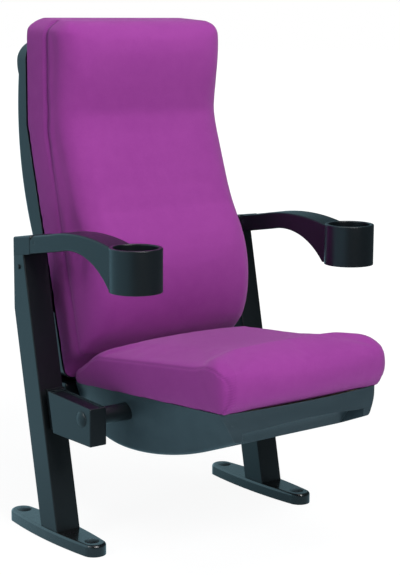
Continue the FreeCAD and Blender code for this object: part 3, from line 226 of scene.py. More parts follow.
wall = studio.mix(seen + through, studio.mix(mirrored, wall_dim, wall_glint), wall_white)
studio.feed(studio.tree.nodes["World Output"].inputs["Surface"], wall)

for name, setting in LAMPS.items():
    lamp = bpy.data.objects.new(name, bpy.data.lights.new(name, "AREA"))
    scene.collection.objects.link(lamp)
    lamp.data.shape = "DISK"
    lamp.data.size = setting["width"]
    lamp.data.energy = setting["power"]
    lamp.location = setting["spot"]
    lamp.rotation_euler = (Vector(setting["spot"]) - AIM).to_track_quat("Z", "Y").to_euler()

bpy.ops.mesh.primitive_circle_add(
    vertices=96, radius=FLOOR_RADIUS, fill_type="NGON", location=(0, 0, -FLOOR_DROP)
)
floor = bpy.context.object
floor.name = "floor"
bpy.ops.object.transform_apply(location=True, rotation=True, scale=True)
floor_paint = Finish("floor_paint", {"Roughness": 0.75, "Base Color": (0.86, 0.87, 0.88, 1)})
floor_lit = Field(floor_paint, floor_paint.shader.outputs[0])
floor_seen = floor_paint.node("ShaderNodeLightPath", output="Is Camera Ray")
floor_mirrored = floor_paint.node("ShaderNodeLightPath", output="Is Glossy Ray")
floor_spot = floor_paint.place()
floor_side = floor_paint.node(
    "ShaderNodeVectorMath", {"operation": "DOT_PRODUCT"}, {0: floor_spot, 1: BRIGHT_SIDE}, "Value"
)
floor_far = floor_paint.node("ShaderNodeVectorMath", {"operation": "LENGTH"}, {0: floor_spot}, "Value")
floor_dark = floor_paint.node("ShaderNodeEmission", inputs={"Color": SHEET_BLUE, "Strength": DARK_GLOW})
floor_sheet = floor_paint.node(
    "ShaderNodeEmission", inputs={"Color": FLOOR_BLUE, "Strength": FLOOR_SHEET_GLOW}
)
floor_glow = floor_paint.node("ShaderNodeEmission", inputs={"Color": WHITE, "Strength": FLOOR_GLOW})
floor_tone = floor_paint.mix(floor_side.within(-0.9, 1.0), floor_dark, floor_sheet)
floor_glint = floor_paint.mix(floor_mirrored * FLOOR_MIRROR, floor_lit, floor_tone)
floor_white = floor_seen * ((1 - SHADOW_SHARE) + floor_far.within(*SHADOW_RING) * SHADOW_SHARE)
floor_face = floor_paint.mix(floor_white, floor_glint, floor_glow)
floor_paint.feed(floor_paint.tree.nodes["Material Output"].inputs["Surface"], floor_face)
floor.data.materials.append(floor_paint.material)

# Feet: one grey iron casting under each leg, bolted to the floor through its two ends.
# They are dipped in thick black gloss enamel, which runs and pools a little in paler grey patches,
# and their edges are painted paler grey as a painted highlight.

FOOT_BLACK = (0.0030, 0.0036, 0.0042, 1)
FOOT_GREY_AND_EDGE_HIGHLIGHT = (0.012, 0.015, 0.017, 1)


def dress(finish, *names):
    """Gives the frame's own pieces their finish."""
    for name in names:
        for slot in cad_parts[name].material_slots:
            slot.material = finish.material


def pairs(*names):
    """The right and left pieces of each name."""
    return [f"{side}_{name}" for name in names for side in ("right", "left")]


enamel = Finish("black_enamel", {"Coat Weight": 0.8, "Coat Roughness": 0.08, "IOR": 1.5})
enamel_edge = enamel.eased_edges(0.0022)
enamel_runs = enamel.noise(55, 3)
enamel_dust = enamel.noise(900, 2)
enamel_edge_highlight = enamel.edge_share(enamel_edge)
# Paler grey along the edges is a painted highlight; the grey patches of the runs are the enamel's own.
enamel.set(
    Base_Color=enamel.blend(
        enamel_edge_highlight * 0.7 + enamel_runs.within(0.55, 0.8) * 0.25,
        FOOT_BLACK,
        FOOT_GREY_AND_EDGE_HIGHLIGHT,
    ),
    Roughness=0.2 + enamel_runs * 0.16 + enamel_dust.within(0.6, 0.8) * 0.12,
    Normal=enamel.bump(enamel_runs + enamel_dust * 0.05, 0.35, 0.0016, enamel_edge),
)
dress(enamel, *pairs("foot"))

# Plugs: press-in caps of black plastic over the heads of the four floor bolts.
# Each is a low dome, smooth where it is whole, and scuffed paler and duller by shoes.

PLUG_BLACK = (0.010, 0.012, 0.014, 1)
PLUG_SCUFF = (0.035, 0.040, 0.044, 1)

cap_plastic = Finish("plug_plastic", {"IOR": 1.46})
cap_edge = cap_plastic.eased_edges(0.0008)
cap_grain = cap_plastic.noise(1400, 1)
cap_scuff = cap_plastic.noise(160, 4, 0.7)
cap_plastic.set(
    Base_Color=cap_plastic.blend(cap_scuff.within(0.5, 0.75), PLUG_BLACK, PLUG_SCUFF),
    Roughness=0.28 + cap_scuff.within(0.45, 0.7) * 0.3,
    Normal=cap_plastic.bump(cap_grain + cap_scuff * 0.4, 0.25, 0.0005, cap_edge),
)
dress(cap_plastic, "foot_plugs")

# Stanchions, frames and brackets: steel tube and plate, welded and powder coated black.
# The coat shows a fine orange peel, is worn thin on the corners and has a faint blue-green cast;
# the corners are painted paler in broken streaks, partly as that wear and partly as a painted highlight.
# The hinge pins and screws of the arms are blackened to match.

STEEL_BLACK = (0.0030, 0.0046, 0.0056, 1)
STEEL_GREY = (0.0056, 0.0086, 0.0104, 1)
STEEL_WORN_AND_HIGHLIGHT = (0.035, 0.046, 0.052, 1)
PEEL_SCALE = 420

coat = Finish("powder_coat", {"IOR": 1.5, "Coat Weight": 0.12, "Coat Roughness": 0.3})
coat_edge = coat.eased_edges(0.0014)
coat_peel = coat.noise(PEEL_SCALE, 2)
coat_cloud = coat.noise(9, 3)
coat_rub = coat.noise(260, 4, 0.65)
coat_edge_wear_and_highlight = coat.edge_share(coat_edge) * coat_rub.within(0.3, 0.6)
# The paler broken streaks on the edges are partly wear and partly a painted highlight.
coat.set(
    Base_Color=coat.blend(
        coat_edge_wear_and_highlight * 0.75,
        coat.blend(coat_cloud, STEEL_BLACK, STEEL_GREY),
        STEEL_WORN_AND_HIGHLIGHT,
    ),
    Roughness=0.28 + coat_cloud * 0.08 + coat_peel * 0.08 - coat_edge_wear_and_highlight * 0.05,
    Normal=coat.bump(coat_peel, 0.22, 0.0006, coat_edge),
)
dress(coat, *pairs("stanchion", "seat_bracket", "back_bracket", "stop_lever"))
dress(coat, *pairs("arm_hinge_pin", "block_screws"))
dress(coat, "seat_frame", "back_frame")

# Fixings, shafts and pins: turned or cold-headed steel, zinc plated and passivated clear.
# The plating is bright on the turned rings and dulls to a faint straw colour in patches.

ZINC_BRIGHT = (0.44, 0.46, 0.48, 1)
ZINC_STRAW = (0.34, 0.32, 0.25, 1)
ZINC_TURNING = 9000

zinc = Finish("zinc_plate", {"Metallic": 1.0})
zinc_edge = zinc.eased_edges(0.0005)
zinc_cloud = zinc.noise(130, 4, 0.6)
zinc_turning = (zinc.place("X") * ZINC_TURNING).sine() * 0.5 + 0.5
zinc.set(
    Base_Color=zinc.blend(zinc_cloud.within(0.35, 0.7), ZINC_BRIGHT, ZINC_STRAW),
    Roughness=0.24 + zinc_cloud * 0.22,
    Normal=zinc.bump(zinc_turning * 0.4 + zinc_cloud, 0.12, 0.0003, zinc_edge),
)
dress(zinc, *pairs("bracket_bolts", "pivot_shaft"))
dress(zinc, "board_screws", "pan_screws", "shell_screws", "back_bolts")

# Return springs: coils of drawn spring wire behind each pivot, oiled and nearly black.
# Fine lines left by the drawing die run along the wire.

WIRE_GREY = (0.10, 0.105, 0.11, 1)
WIRE_OIL = (0.045, 0.042, 0.040, 1)

spring_wire = Finish("spring_wire", {"Metallic": 1.0})
wire_lines = spring_wire.noise(700, 3, 0.6)
wire_oil = spring_wire.noise(45, 2)
spring_wire.set(
    Base_Color=spring_wire.blend(wire_oil.within(0.4, 0.65), WIRE_GREY, WIRE_OIL),
    Roughness=0.3 + wire_lines * 0.2 - wire_oil.within(0.5, 0.8) * 0.12,
    Normal=spring_wire.bump(wire_lines, 0.2, 0.0003),
)
dress(spring_wire, *pairs("return_spring"))

# Pivot bushes: turned natural nylon, off-white under a film of dark grease.
# The turning tool has left fine rings round them.

NYLON_WHITE = (0.48, 0.46, 0.40, 1)
NYLON_GREASE = (0.10, 0.09, 0.075, 1)
NYLON_TURNING = 5200

nylon = Finish("nylon", {"IOR": 1.53, "Subsurface Weight": 0.0})
nylon_grease = nylon.noise(120, 4, 0.6)
nylon_rings = (nylon.place("X") * NYLON_TURNING).sine() * 0.5 + 0.5
nylon.set(
    Base_Color=nylon.blend(nylon_grease.within(0.42, 0.62), NYLON_WHITE, NYLON_GREASE),
    Roughness=0.34 + nylon_grease * 0.2,
    Normal=nylon.bump(nylon_rings * 0.3 + nylon_grease, 0.1, 0.0004),
)
dress(nylon, *pairs("pivot_bush"))

# Stop buffers: small cushions of black rubber that the seat's levers come to rest on.
# Old rubber blooms, so they are dull and a little grey in patches.

RUBBER_BLACK = (0.012, 0.012, 0.012, 1)
RUBBER_BLOOM = (0.055, 0.054, 0.052, 1)

buffer_rubber = Finish("buffer_rubber", {"IOR": 1.5})
rubber_bloom = buffer_rubber.noise(210, 4, 0.65)
buffer_rubber.set(
    Base_Color=buffer_rubber.blend(rubber_bloom.within(0.45, 0.75), RUBBER_BLACK, RUBBER_BLOOM),
    Roughness=0.72 + rubber_bloom * 0.2,
    Normal=buffer_rubber.bump(rubber_bloom, 0.3, 0.0005, buffer_rubber.eased_edges(0.001)),
)
dress(buffer_rubber, *pairs("stop_buffers"))

# Mouldings: the back shell, pivot covers and caps, hub sleeves, arm blocks and arms are one
# black polypropylene with a fine spark-eroded grain, glossier on the edges and painted paler
# there as a painted highlight.

PLASTIC_BLACK = (0.0026, 0.0044, 0.0058, 1)
PLASTIC_GREY = (0.0056, 0.0092, 0.0118, 1)
PLASTIC_SCUFF_AND_EDGE_HIGHLIGHT = (0.120, 0.165, 0.185, 1)
GRAIN_SCALE = 1500

moulded = Finish("moulded_plastic", {"IOR": 1.47})
moulded_edge = moulded.eased_edges(0.0011)
moulded_grain = moulded.noise(GRAIN_SCALE, 2, 0.6)
moulded_flow = moulded.noise(6, 3)
moulded_mark = moulded.noise(75, 5, 0.7)
moulded_edge_highlight = moulded.edge_share(moulded_edge)
# The pale teal along every edge is a painted highlight.
moulded.set(
    Base_Color=moulded.blend(
        moulded_edge_highlight * 0.8,
        moulded.blend(moulded_flow, PLASTIC_BLACK, PLASTIC_GREY),
        PLASTIC_SCUFF_AND_EDGE_HIGHLIGHT,
    ),
    Roughness=0.27 + moulded_flow * 0.08 + moulded_mark.within(0.5, 0.8) * 0.1 - moulded_edge_highlight * 0.1,
    Normal=moulded.bump(moulded_grain + moulded_mark * 0.08, 0.3, 0.0004, moulded_edge),
)
dress(moulded, "back_shell")
dress(moulded, *pairs("bracket_cover", "pivot_cap", "hub_sleeve", "arm_block", "armrest"))

# Seat pan: the same black plastic, painted greyer and greener than the rest as a painted reflection
# of the pale room, with long flow marks from the gate in its belly and scuffs from shoes and brooms.
# Its edges carry the same painted highlight as the other mouldings.

PAN_REFLECTION_GREY = (0.024, 0.044, 0.056, 1)
PAN_REFLECTION_PALE = (0.034, 0.060, 0.074, 1)

pan_reflection_plastic = Finish("pan_reflection_plastic", {"IOR": 1.48})
pan_edge = pan_reflection_plastic.eased_edges(0.0014)
pan_grain = pan_reflection_plastic.noise(GRAIN_SCALE, 2, 0.6)
pan_flow_spot = pan_reflection_plastic.node(
    "ShaderNodeMapping", inputs={"Vector": pan_reflection_plastic.place(), "Scale": (5, 22, 30)}
)
pan_flow = pan_reflection_plastic.noise(1.0, 3, 0.5, pan_flow_spot)
pan_scuff = pan_reflection_plastic.noise(110, 5, 0.7)
pan_edge_highlight = pan_reflection_plastic.edge_share(pan_edge)
# The grey-green base is a painted reflection and the pale edges a painted highlight; the pale scuffs are
# real.
pan_reflection_plastic.set(
    Base_Color=pan_reflection_plastic.blend(
        pan_edge_highlight * 0.8 + pan_scuff.within(0.6, 0.85) * 0.25,
        pan_reflection_plastic.blend(pan_flow.within(0.3, 0.7), PAN_REFLECTION_GREY, PAN_REFLECTION_PALE),
        PLASTIC_SCUFF_AND_EDGE_HIGHLIGHT,
    ),
    Roughness=0.30 + pan_flow * 0.1 + pan_scuff.within(0.5, 0.8) * 0.12 - pan_edge_highlight * 0.1,
    Normal=pan_reflection_plastic.bump(pan_grain + pan_flow * 0.3, 0.3, 0.0004, pan_edge),
)
dress(pan_reflection_plastic, "seat_pan")

# Boards: birch plywood under both cushions, cut by router, with pale and dark plies that
# show on the edges and a light open grain on the faces.

PLY_PITCH = 0.0014
BACK_RAKE = 0.066
BIRCH_DARK = (0.50, 0.34, 0.19, 1)
BIRCH_PALE = (0.62, 0.47, 0.30, 1)
PLY_GLUE = (0.26, 0.15, 0.075, 1)

plywood = Finish("plywood", {"IOR": 1.45})
ply_layer = ((plywood.place("Z") + plywood.place("Y") * BACK_RAKE) * (pi / PLY_PITCH)).sine()
ply_spot = plywood.node("ShaderNodeMapping", inputs={"Vector": plywood.place(), "Scale": (90, 6, 90)})
ply_grain = plywood.noise(1.0, 5, 0.6, ply_spot)
plywood.set(
    Base_Color=plywood.blend(
        ply_layer.within(-0.2, 0.5) * 0.35,
        plywood.blend(ply_grain.within(0.3, 0.7), BIRCH_DARK, BIRCH_PALE),
        PLY_GLUE,
    ),
    Roughness=0.6 + ply_grain * 0.2,
    Normal=plywood.bump(ply_grain, 0.25, 0.0006),
)
dress(plywood, "seat_board", "back_board")

# Cover cloth: a plain weave of purple wool and polyester yarn, stretched over moulded foam.
# The yarn is flecked, the cloth has a soft bloom at a glancing angle, and its seams are
# drawn in and pucker the cloth beside them, most where it is tightest, beside the head.
# Each seam is painted dark, partly as its thread and partly as painted shade in its groove,
# and painted shade darkens the puckers beside it; both are stronger higher up, most beside the head.

CLOTH_DEEP_AND_SHADE = (0.150, 0.016, 0.165, 1)
CLOTH_MID = (0.270, 0.034, 0.262, 1)
CLOTH_PALE = (0.370, 0.062, 0.345, 1)
CLOTH_SEAM_AND_SHADE = (0.070, 0.008, 0.082, 1)
YARN_PITCH = 0.0013
PUCKER_PITCH = 0.0052

cloth = Finish(
    "purple_cloth",
    {
        "Sheen Weight": 0.16,
        "Sheen Roughness": 0.45,
        "Sheen Tint": (0.95, 0.72, 0.98, 1),
        "Specular IOR Level": 0.2,
        "IOR": 1.45,
    },
)
weave_spot = cloth.node("ShaderNodeUVMap", {"uv_map": "UVMap"})
weave_u = cloth.node("ShaderNodeSeparateXYZ", inputs={0: weave_spot}, output="X")
weave_v = cloth.node("ShaderNodeSeparateXYZ", inputs={0: weave_spot}, output="Y")
warp = (weave_u * (pi / YARN_PITCH)).sine()
weft = (weave_v * (pi / YARN_PITCH)).sine()
warp_over = (warp * weft * 3 + 0.5).within(0, 1)
yarn_height = abs(warp) * warp_over + abs(weft) * (1 - warp_over)
fleck = cloth.noise(900, 2, 0.6)
cloud = cloth.noise(38, 4, 0.6)
drift = cloth.noise(7, 2)
seam_gap = cloth.node("ShaderNodeAttribute", {"attribute_name": "seam_gap"}, output="Fac")
# The dark seam line is partly thread and partly painted shade in the groove; the darkened pucker band is
# painted shade, stronger higher up.
seam_and_shade_strength = cloth.place("Z").within(0.66, 0.90) * 0.72 + 0.28
seam_thread_and_shade = (1 - abs(seam_gap).within(0.0004, 0.0044)) * seam_and_shade_strength
pucker_band_and_shade = (1 - abs(seam_gap).within(0.002, 0.015)) * seam_and_shade_strength
pucker_wave = ((cloth.place("Z") + cloth.place("Y") * 0.6) * (2 * pi / PUCKER_PITCH) + cloud * 9).sine()
cloth_tone = (cloud - 0.5) * 0.55 + (drift - 0.5) * 0.5 + (fleck - 0.5) * 0.9 + 0.5
cloth.set(
    # The deep purple beside the seams, with the pucker wave, is painted shade; the weave's own tone also
    # mixes toward it.
    Base_Color=cloth.blend(
        seam_thread_and_shade * 0.5,
        cloth.blend(
            (yarn_height * 0.35 + 0.15) * 0.5 + pucker_band_and_shade * (pucker_wave * 0.3 + 0.22),
            cloth.blend(cloth_tone.within(0, 1), CLOTH_PALE, CLOTH_MID),
            CLOTH_DEEP_AND_SHADE,
        ),
        CLOTH_SEAM_AND_SHADE,
    ),
    Roughness=0.78 + fleck * 0.16,
    Normal=cloth.bump(
        pucker_band_and_shade * pucker_wave,
        0.55,
        0.0012,
        cloth.bump(yarn_height + fleck * 0.35, 0.5, 0.0004, cloth.bump(cloud, 0.22, 0.0022)),
    ),
)


WELD_GAP = 0.00002
COVER_FRAMES = 20


def copy_solid(node, name, fineness):
    """An even mesh of a soft solid, ready to be shaped."""
    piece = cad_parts[node].copy()
    piece.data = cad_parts[node].data.copy()
    piece.name = name
    for key in [key for key in piece.keys() if key.startswith("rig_")]:
        del piece[key]
    piece.parent = None
    scene.collection.objects.link(piece)
    bpy.ops.object.select_all(action="DESELECT")
    bpy.context.view_layer.objects.active = piece
    piece.select_set(True)
    bpy.ops.object.mode_set(mode="EDIT")
    bpy.ops.mesh.select_all(action="SELECT")
    bpy.ops.mesh.remove_doubles(threshold=WELD_GAP)
    bpy.ops.object.mode_set(mode="OBJECT")
    remesh = piece.modifiers.new("even_mesh", "REMESH")
    remesh.mode = "VOXEL"
    remesh.voxel_size = fineness
    remesh.use_smooth_shade = True
    bpy.ops.object.modifier_apply(modifier=remesh.name)
    return piece


def points_of(piece):
    found = np.zeros(len(piece.data.vertices) * 3)
    piece.data.vertices.foreach_get("co", found)
    return found.reshape(-1, 3)


def put_points(piece, points):
    piece.data.vertices.foreach_set("co", np.ascontiguousarray(points).reshape(-1))
    piece.data.update()


def normals_of(piece):
    found = np.zeros(len(piece.data.vertices) * 3)
    piece.data.vertex_normals.foreach_get("vector", found)
    return found.reshape(-1, 3)


def edge_line(places, values, pick, step):
    """The lowest or highest value in each short stretch of places, as a smooth line."""
    stops = np.arange(places.min(), places.max() + step, step)
    ends = []
    for stop in stops:
        nearby = values[np.abs(places - stop) <= step]
        ends.append(pick(nearby) if len(nearby) else np.nan)
    ends = np.array(ends)
    good = ~np.isnan(ends)
    return lambda spots: np.interp(spots, stops[good], ends[good])


def near(distance, reach):
    """1 where there is no distance, 0 at the reach and beyond, and even between them."""
    return np.clip(1 - distance / reach, 0, 1)


def bell(distance, width):
    """1 where there is no distance, and fading out like a bell curve."""
    return np.exp(-((distance / width) ** 2))


def round_corner(across, along):
    """Turns a square corner, 0 to 1 each way, into a round one."""
    a = np.clip(across, 0, 1)
    b = np.clip(along, 0, 1)
    both = (across > 0) & (along > 0)
    new_a = np.where(both, a * np.sqrt(1 - b * b / 2), across)
    new_b = np.where(both, b * np.sqrt(1 - a * a / 2), along)
    return new_a, new_b


def swell(piece, held, limit, push):
    """Blows up the cover from inside by cloth simulation, and caps how far each point moves."""
    start = points_of(piece)
    group = piece.vertex_groups.new(name="held")
    for share in np.unique(np.round(held, 2)):
        if share > 0:
            group.add([int(i) for i in np.nonzero(np.round(held, 2) == share)[0]], float(share), "REPLACE")
    bpy.context.view_layer.objects.active = piece
    sewn = piece.modifiers.new("cover", "CLOTH")
    sewn.settings.vertex_group_mass = group.name
    sewn.settings.use_pressure = True
    sewn.settings.uniform_pressure_force = push
    sewn.settings.effector_weights.gravity = 0
    sewn.settings.quality = 4
    sewn.collision_settings.use_collision = False
    sewn.point_cache.frame_start = 1
    sewn.point_cache.frame_end = COVER_FRAMES
    for number in range(COVER_FRAMES):
        scene.frame_set(number + 1)
    bpy.ops.object.modifier_apply(modifier=sewn.name)
    scene.frame_set(1)
    moved = points_of(piece) - start
    reach = np.linalg.norm(moved, axis=1)
    share = np.minimum(1, limit / np.maximum(reach, 1e-9))
    put_points(piece, start + moved * share[:, None])
    piece.vertex_groups.clear()


def smooth_cover(piece, times):
    relax = piece.modifiers.new("ease", "SMOOTH")
    relax.iterations = times
    relax.factor = 0.5
    bpy.context.view_layer.objects.active = piece
    bpy.ops.object.modifier_apply(modifier=relax.name)


def refine(piece):
    finer = piece.modifiers.new("finer", "SUBSURF")
    finer.levels = 1
    finer.render_levels = 1
    bpy.context.view_layer.objects.active = piece
    bpy.ops.object.modifier_apply(modifier=finer.name)


def mark_seam(piece, gap):
    """Keeps each point's distance from the nearest seam on the mesh."""
    mark = piece.data.attributes.new("seam_gap", "FLOAT", "POINT")
    mark.data.foreach_set("value", np.clip(gap, -0.05, 0.05).astype(np.float32))


def seam_marks(piece):
    found = np.zeros(len(piece.data.vertices), np.float32)
    piece.data.attributes["seam_gap"].data.foreach_get("value", found)
    return found.astype(float)


def lay_weave(piece):
    """Lays the weave flat on each side of the piece, at its real size."""
    bpy.ops.object.select_all(action="DESELECT")
    bpy.context.view_layer.objects.active = piece
    piece.select_set(True)
    if not piece.data.uv_layers:
        piece.data.uv_layers.new(name="UVMap")
    bpy.ops.object.mode_set(mode="EDIT")
    bpy.ops.mesh.select_all(action="SELECT")
    bpy.ops.uv.cube_project(cube_size=1.0, correct_aspect=False, clip_to_bounds=False, scale_to_bounds=False)
    bpy.ops.object.mode_set(mode="OBJECT")


def finish_cover(piece):
    lay_weave(piece)
    for polygon in piece.data.polygons:
        polygon.use_smooth = True
    piece.data.materials.clear()
    piece.data.materials.append(cloth.material)
    bpy.ops.object.select_all(action="DESELECT")


# Seat cushion: cold-cure foam moulded round the plywood board, crowned across its width and
# with a rolled front. A side panel is sewn in just under the top edge and behind the nose.

SEAT_FINENESS = 0.0062
SEAT_EASE = 0.003
SEAT_SWELL = 0.006
PRESSURE = 2.4
SMOOTHING = 3
LINE_STEP = 0.006
SIDE_BAND = 0.03
SEAT_SIDE_ROUND = 0.034
SEAT_TOP_ROUND = 0.020
SEAT_CROWN = 0.009
SEAT_CROWN_DEPTH = 0.05
SEAT_TOP_DEPTH = 0.03
SEAT_ROLL = 0.001
SEAT_ROLL_BACK = 0.058
SEAT_ROLL_WIDTH = 0.04
SEAT_DIP = 0.002
SEAT_DIP_BACK = 0.20
SEAT_DIP_WIDTH = 0.09
SEAT_TUCK = 0.0105
SEAT_TUCK_HEIGHT = 0.050
SEAT_TUCK_FROM = 0.8
SEAT_NOSE_OUT = 0.010
SEAT_NOSE_DEPTH = 0.08
SEAT_NOSE_SPREAD = 0.4
SEAT_FOOT_HEIGHT = 0.004
SEAT_RIM_DEPTH = 0.09
SEAT_SINK = 0.0025
SEAT_SINK_HEIGHT = 0.006
SEAT_HELD_HEIGHT = 0.016
SEAT_HELD_REAR = 0.012
SEAM_HOLD = 0.9
SEAM_HOLD_REACH = 0.004
SEAT_SEAM_IN = 0.015
SEAT_SEAM_LENGTH = 0.5
SEAT_SEAM_DEPTH = 0.0016
SEAT_SEAM_REACH = 0.0032
NO_SEAM = 0.05
PAN_FRONT = -0.0045
PAN_BOW = 0.014

seat_low, seat_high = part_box("seat_cushion")
seat = copy_solid("seat_cushion", "seat_upholstery", SEAT_FINENESS)
spots = points_of(seat)
half_width = seat_high.x
x, y, z = spots.T
top_line = edge_line(y, z, np.max, LINE_STEP)
under_line = edge_line(y, z, np.min, LINE_STEP)
nose_line = edge_line(z, y, np.min, LINE_STEP)
below_top = top_line(y) - z
behind_nose = y - nose_line(z)
above_board = z - under_line(y)
outline_gap = np.minimum(below_top, behind_nose)
has_seam = (np.abs(x) > half_width - SIDE_BAND) & (behind_nose < SEAT_SEAM_LENGTH)
seat_seam = np.where(has_seam, outline_gap - SEAT_SEAM_IN, NO_SEAM)
across, along = round_corner(
    (np.abs(x) - (half_width - SEAT_SIDE_ROUND)) / SEAT_SIDE_ROUND,
    1 - below_top / SEAT_TOP_ROUND,
)
new_x = np.sign(x) * (half_width - SEAT_SIDE_ROUND + SEAT_SIDE_ROUND * across)
new_z = np.where(along > 0, top_line(y) - SEAT_TOP_ROUND * (1 - along), z)
on_top = near(below_top, SEAT_TOP_DEPTH)
mid_share = 1 - (new_x / half_width) ** 2
crown = SEAT_CROWN * mid_share * near(below_top, SEAT_CROWN_DEPTH)
roll = SEAT_ROLL * bell(y - (seat_low.y + SEAT_ROLL_BACK), SEAT_ROLL_WIDTH) * on_top
rear_dip = SEAT_DIP * bell(y - (seat_low.y + SEAT_DIP_BACK), SEAT_DIP_WIDTH) * on_top * mid_share
tuck = near(above_board, SEAT_TUCK_HEIGHT) ** 2
out_share = np.clip((np.abs(x) / half_width - SEAT_TUCK_FROM) / (1 - SEAT_TUCK_FROM), 0, 1)
new_x = new_x - np.sign(x) * SEAT_TUCK * tuck * out_share
pan_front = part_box("seat_pan")[0].y
rim_front = pan_front + PAN_FRONT + PAN_BOW * (x / half_width) ** 2
bottom = above_board < SEAT_FOOT_HEIGHT
foot_line = edge_line(x[bottom], y[bottom], np.min, 2 * LINE_STEP)
to_rim = (rim_front - foot_line(x)) * tuck * near(behind_nose, SEAT_RIM_DEPTH)
height = np.clip(above_board / np.maximum(top_line(y) - under_line(y), 0.01), 0, 1)
at_corner = np.clip(np.abs(x) / half_width, 0, 1) ** 2
nose_out = SEAT_NOSE_OUT * np.sin(pi * height) * near(behind_nose, SEAT_NOSE_DEPTH) * at_corner
new_x = new_x + np.sign(x) * nose_out * SEAT_NOSE_SPREAD
sink = SEAT_SINK * near(above_board, SEAT_SINK_HEIGHT)
new_y = y + to_rim - nose_out
new_z = new_z + crown + roll - rear_dip - sink
put_points(seat, np.stack([new_x, new_y, new_z], axis=1))
smooth_cover(seat, SMOOTHING)
spots = points_of(seat)
inward = SEAT_EASE * np.clip(above_board / SEAT_TUCK_HEIGHT, 0, 1)
put_points(seat, spots - normals_of(seat) * inward[:, None])
held = near(above_board, SEAT_HELD_HEIGHT)
held = np.maximum(held, np.where(np.abs(seat_seam) < SEAM_HOLD_REACH, SEAM_HOLD, 0))
held = np.maximum(held, np.clip((y - (seat_high.y - SEAT_HELD_REAR)) / 0.01, 0, 1))
swell(seat, held, SEAT_SWELL, PRESSURE)
smooth_cover(seat, SMOOTHING)
mark_seam(seat, seat_seam)
refine(seat)
depth = SEAT_SEAM_DEPTH * bell(seam_marks(seat), SEAT_SEAM_REACH)
put_points(seat, points_of(seat) - normals_of(seat) * depth[:, None])
finish_cover(seat)
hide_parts("seat_cushion")
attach(seat, "seat")

# Back cushion: moulded foam on a bent plywood board, with a roll for the head, a hollow for
# the neck and a full lumbar bulge. The front panel wraps round to a seam on each side, where
# it is gathered onto a flat side panel, and the seam draws in most beside the head.

BACK_FINENESS = 0.0066
BACK_EASE = 0.003
BACK_SWELL = 0.006
BACK_SMOOTHING = 8
BACK_LINE_STEP = 0.008
BACK_MIDDLE = 0.6
BACK_EVEN = 0.007
BACK_EASED = 0.024
BACK_EASED_FROM = 0.40
BACK_EASED_RISE = 0.05
BACK_EASED_TOP = 0.07
BACK_CORNER = 0.046
BACK_CROWN = 0.012
BACK_CROWN_DEPTH = 0.07
BACK_TOP_FALL = 0.009
BACK_FALL_DEPTH = 0.15
BACK_FALL_HEIGHT = 0.09
BACK_TOP_CORNER = 0.032
BACK_TOP_RISE = 0.005
BACK_TOP_BAND = 0.06
BACK_BOARD_BAND = 0.004
BACK_HELD_DEPTH = 0.012
BACK_HELD_TOP = 0.03
BACK_SIDE_PANEL = 0.080
BACK_SEAM_DEPTH = 0.0015
HEAD_SEAM_DEPTH = 0.0032
HEAD_SEAM_FROM = 0.72
HEAD_SEAM_RISE = 0.12
BACK_SEAM_REACH = 0.0065


def eased(line, low, high, reach):
    """A line with its corners eased over a reach."""
    step = 0.002
    stops = np.arange(low, high + step, step)
    arm = int(4 * reach / step)
    weights = np.exp(-0.5 * (np.arange(-arm, arm + 1) * step / reach) ** 2)
    values = np.convolve(np.pad(line(stops), arm, mode="edge"), weights / weights.sum(), mode="valid")
    return lambda spots: np.interp(spots, stops, values)


back_low, back_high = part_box("back_cushion")
back = copy_solid("back_cushion", "back_upholstery", BACK_FINENESS)
spots = points_of(back)
half_width = back_high.x
x, y, z = spots.T
middle = np.abs(x) < half_width * BACK_MIDDLE
front_line = edge_line(z[middle], y[middle], np.min, BACK_LINE_STEP)
rear_line = edge_line(z[middle], y[middle], np.max, BACK_LINE_STEP)
even_front = eased(front_line, back_low.z, back_high.z, BACK_EVEN)
eased_front = eased(front_line, back_low.z, back_high.z, BACK_EASED)
behind_front = y - even_front(z)
before_rear = rear_line(z) - y
below_top = back_high.z - z
ease_share = np.clip(below_top / BACK_EASED_TOP, 0, 1)
ease_share = ease_share * np.clip((z - BACK_EASED_FROM) / BACK_EASED_RISE, 0, 1)
ease_share = ease_share * np.clip(before_rear / np.maximum(rear_line(z) - front_line(z), 0.01), 0, 1)
ease_shift = (eased_front(z) - even_front(z)) * ease_share
top_fall = BACK_TOP_FALL * np.clip(before_rear / BACK_FALL_DEPTH, 0, 1)
top_fall = top_fall * near(below_top, BACK_FALL_HEIGHT) ** 2
near_top = near(below_top, BACK_TOP_BAND)
has_seam = (np.abs(x) > half_width - SIDE_BAND) & (near_top < 1)
back_seam = np.where(has_seam, before_rear - BACK_SIDE_PANEL, NO_SEAM)
across, along = round_corner(
    (np.abs(x) - (half_width - BACK_CORNER)) / BACK_CORNER,
    1 - behind_front / BACK_CORNER,
)
new_x = np.sign(x) * (half_width - BACK_CORNER + BACK_CORNER * across)
new_y = np.where(along > 0, even_front(z) + BACK_CORNER * (1 - along), y)
across, along = round_corner(
    (np.abs(new_x) - (half_width - BACK_TOP_CORNER)) / BACK_TOP_CORNER,
    1 - below_top / BACK_TOP_CORNER,
)
new_x = np.sign(x) * (half_width - BACK_TOP_CORNER + BACK_TOP_CORNER * across)
new_z = np.where(along > 0, back_high.z - BACK_TOP_CORNER * (1 - along), z)
front_share = near(behind_front, BACK_CROWN_DEPTH)
new_y = new_y - BACK_CROWN * (1 - (new_x / half_width) ** 2) * front_share * ease_share + ease_shift
new_z = new_z - top_fall + BACK_TOP_RISE * near_top
put_points(back, np.stack([new_x, new_y, new_z], axis=1))
smooth_cover(back, SMOOTHING)
spots = points_of(back)
inward = np.where(before_rear < BACK_BOARD_BAND, 0, BACK_EASE)
put_points(back, spots - normals_of(back) * inward[:, None])
held = near(before_rear, BACK_HELD_DEPTH)
held = np.maximum(held, np.where(np.abs(back_seam) < 0.005, SEAM_HOLD, 0))
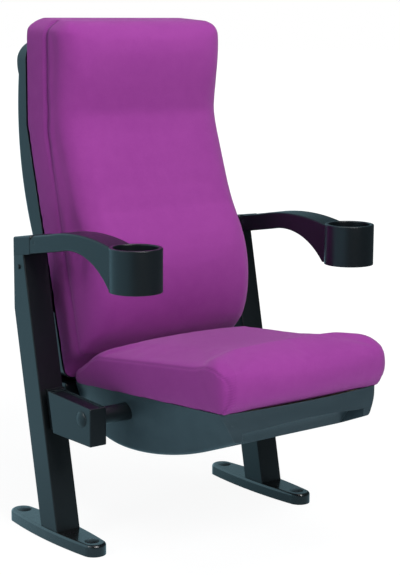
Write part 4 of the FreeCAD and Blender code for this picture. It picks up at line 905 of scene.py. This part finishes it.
held = np.maximum(held, np.clip((BACK_HELD_TOP - below_top) / 0.02, 0, 1) * SEAM_HOLD)
swell(back, held, BACK_SWELL, PRESSURE)
smooth_cover(back, BACK_SMOOTHING)
mark_seam(back, back_seam)
refine(back)
spots = points_of(back)
beside_head = np.clip((spots[:, 2] - HEAD_SEAM_FROM) / HEAD_SEAM_RISE, 0, 1)
depth = (BACK_SEAM_DEPTH + HEAD_SEAM_DEPTH * beside_head) * bell(seam_marks(back), BACK_SEAM_REACH)
put_points(back, spots - normals_of(back) * depth[:, None])
finish_cover(back)
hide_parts("back_cushion")
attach(back, "frame")

# Lower lip of the back: the moulded shell turns in under the cushion and closes its bottom,
# just behind the path of the seat's rear end, which swings past it.

LIP_HALF = 0.212
LIP_ROUND = 0.005
LIP_OUTLINE = (
    (0.117, 0.318), (0.115, 0.290), (0.106, 0.268), (0.090, 0.256), (0.073, 0.257),
    (0.065, 0.270), (0.066, 0.3065), (0.090, 0.3065), (0.100, 0.312),
)

lip_mesh = bpy.data.meshes.new("back_lower_lip")
lip_form = bmesh.new()
lip_ends = [[lip_form.verts.new((side * LIP_HALF, y, z)) for y, z in LIP_OUTLINE] for side in (-1, 1)]
lip_form.faces.new(lip_ends[0])
lip_form.faces.new(lip_ends[1][::-1])
for number in range(len(LIP_OUTLINE)):
    after = (number + 1) % len(LIP_OUTLINE)
    lip_form.faces.new((lip_ends[0][after], lip_ends[0][number], lip_ends[1][number], lip_ends[1][after]))
bmesh.ops.recalc_face_normals(lip_form, faces=lip_form.faces)
lip_form.to_mesh(lip_mesh)
lip_form.free()
lip = bpy.data.objects.new("back_lower_lip", lip_mesh)
scene.collection.objects.link(lip)
bpy.context.view_layer.objects.active = lip
soften = lip.modifiers.new("soften", "BEVEL")
soften.width = LIP_ROUND
soften.segments = 4
soften.limit_method = "ANGLE"
bpy.ops.object.modifier_apply(modifier=soften.name)
for polygon in lip.data.polygons:
    polygon.use_smooth = True
lip.data.materials.append(moulded.material)
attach(lip, "frame")
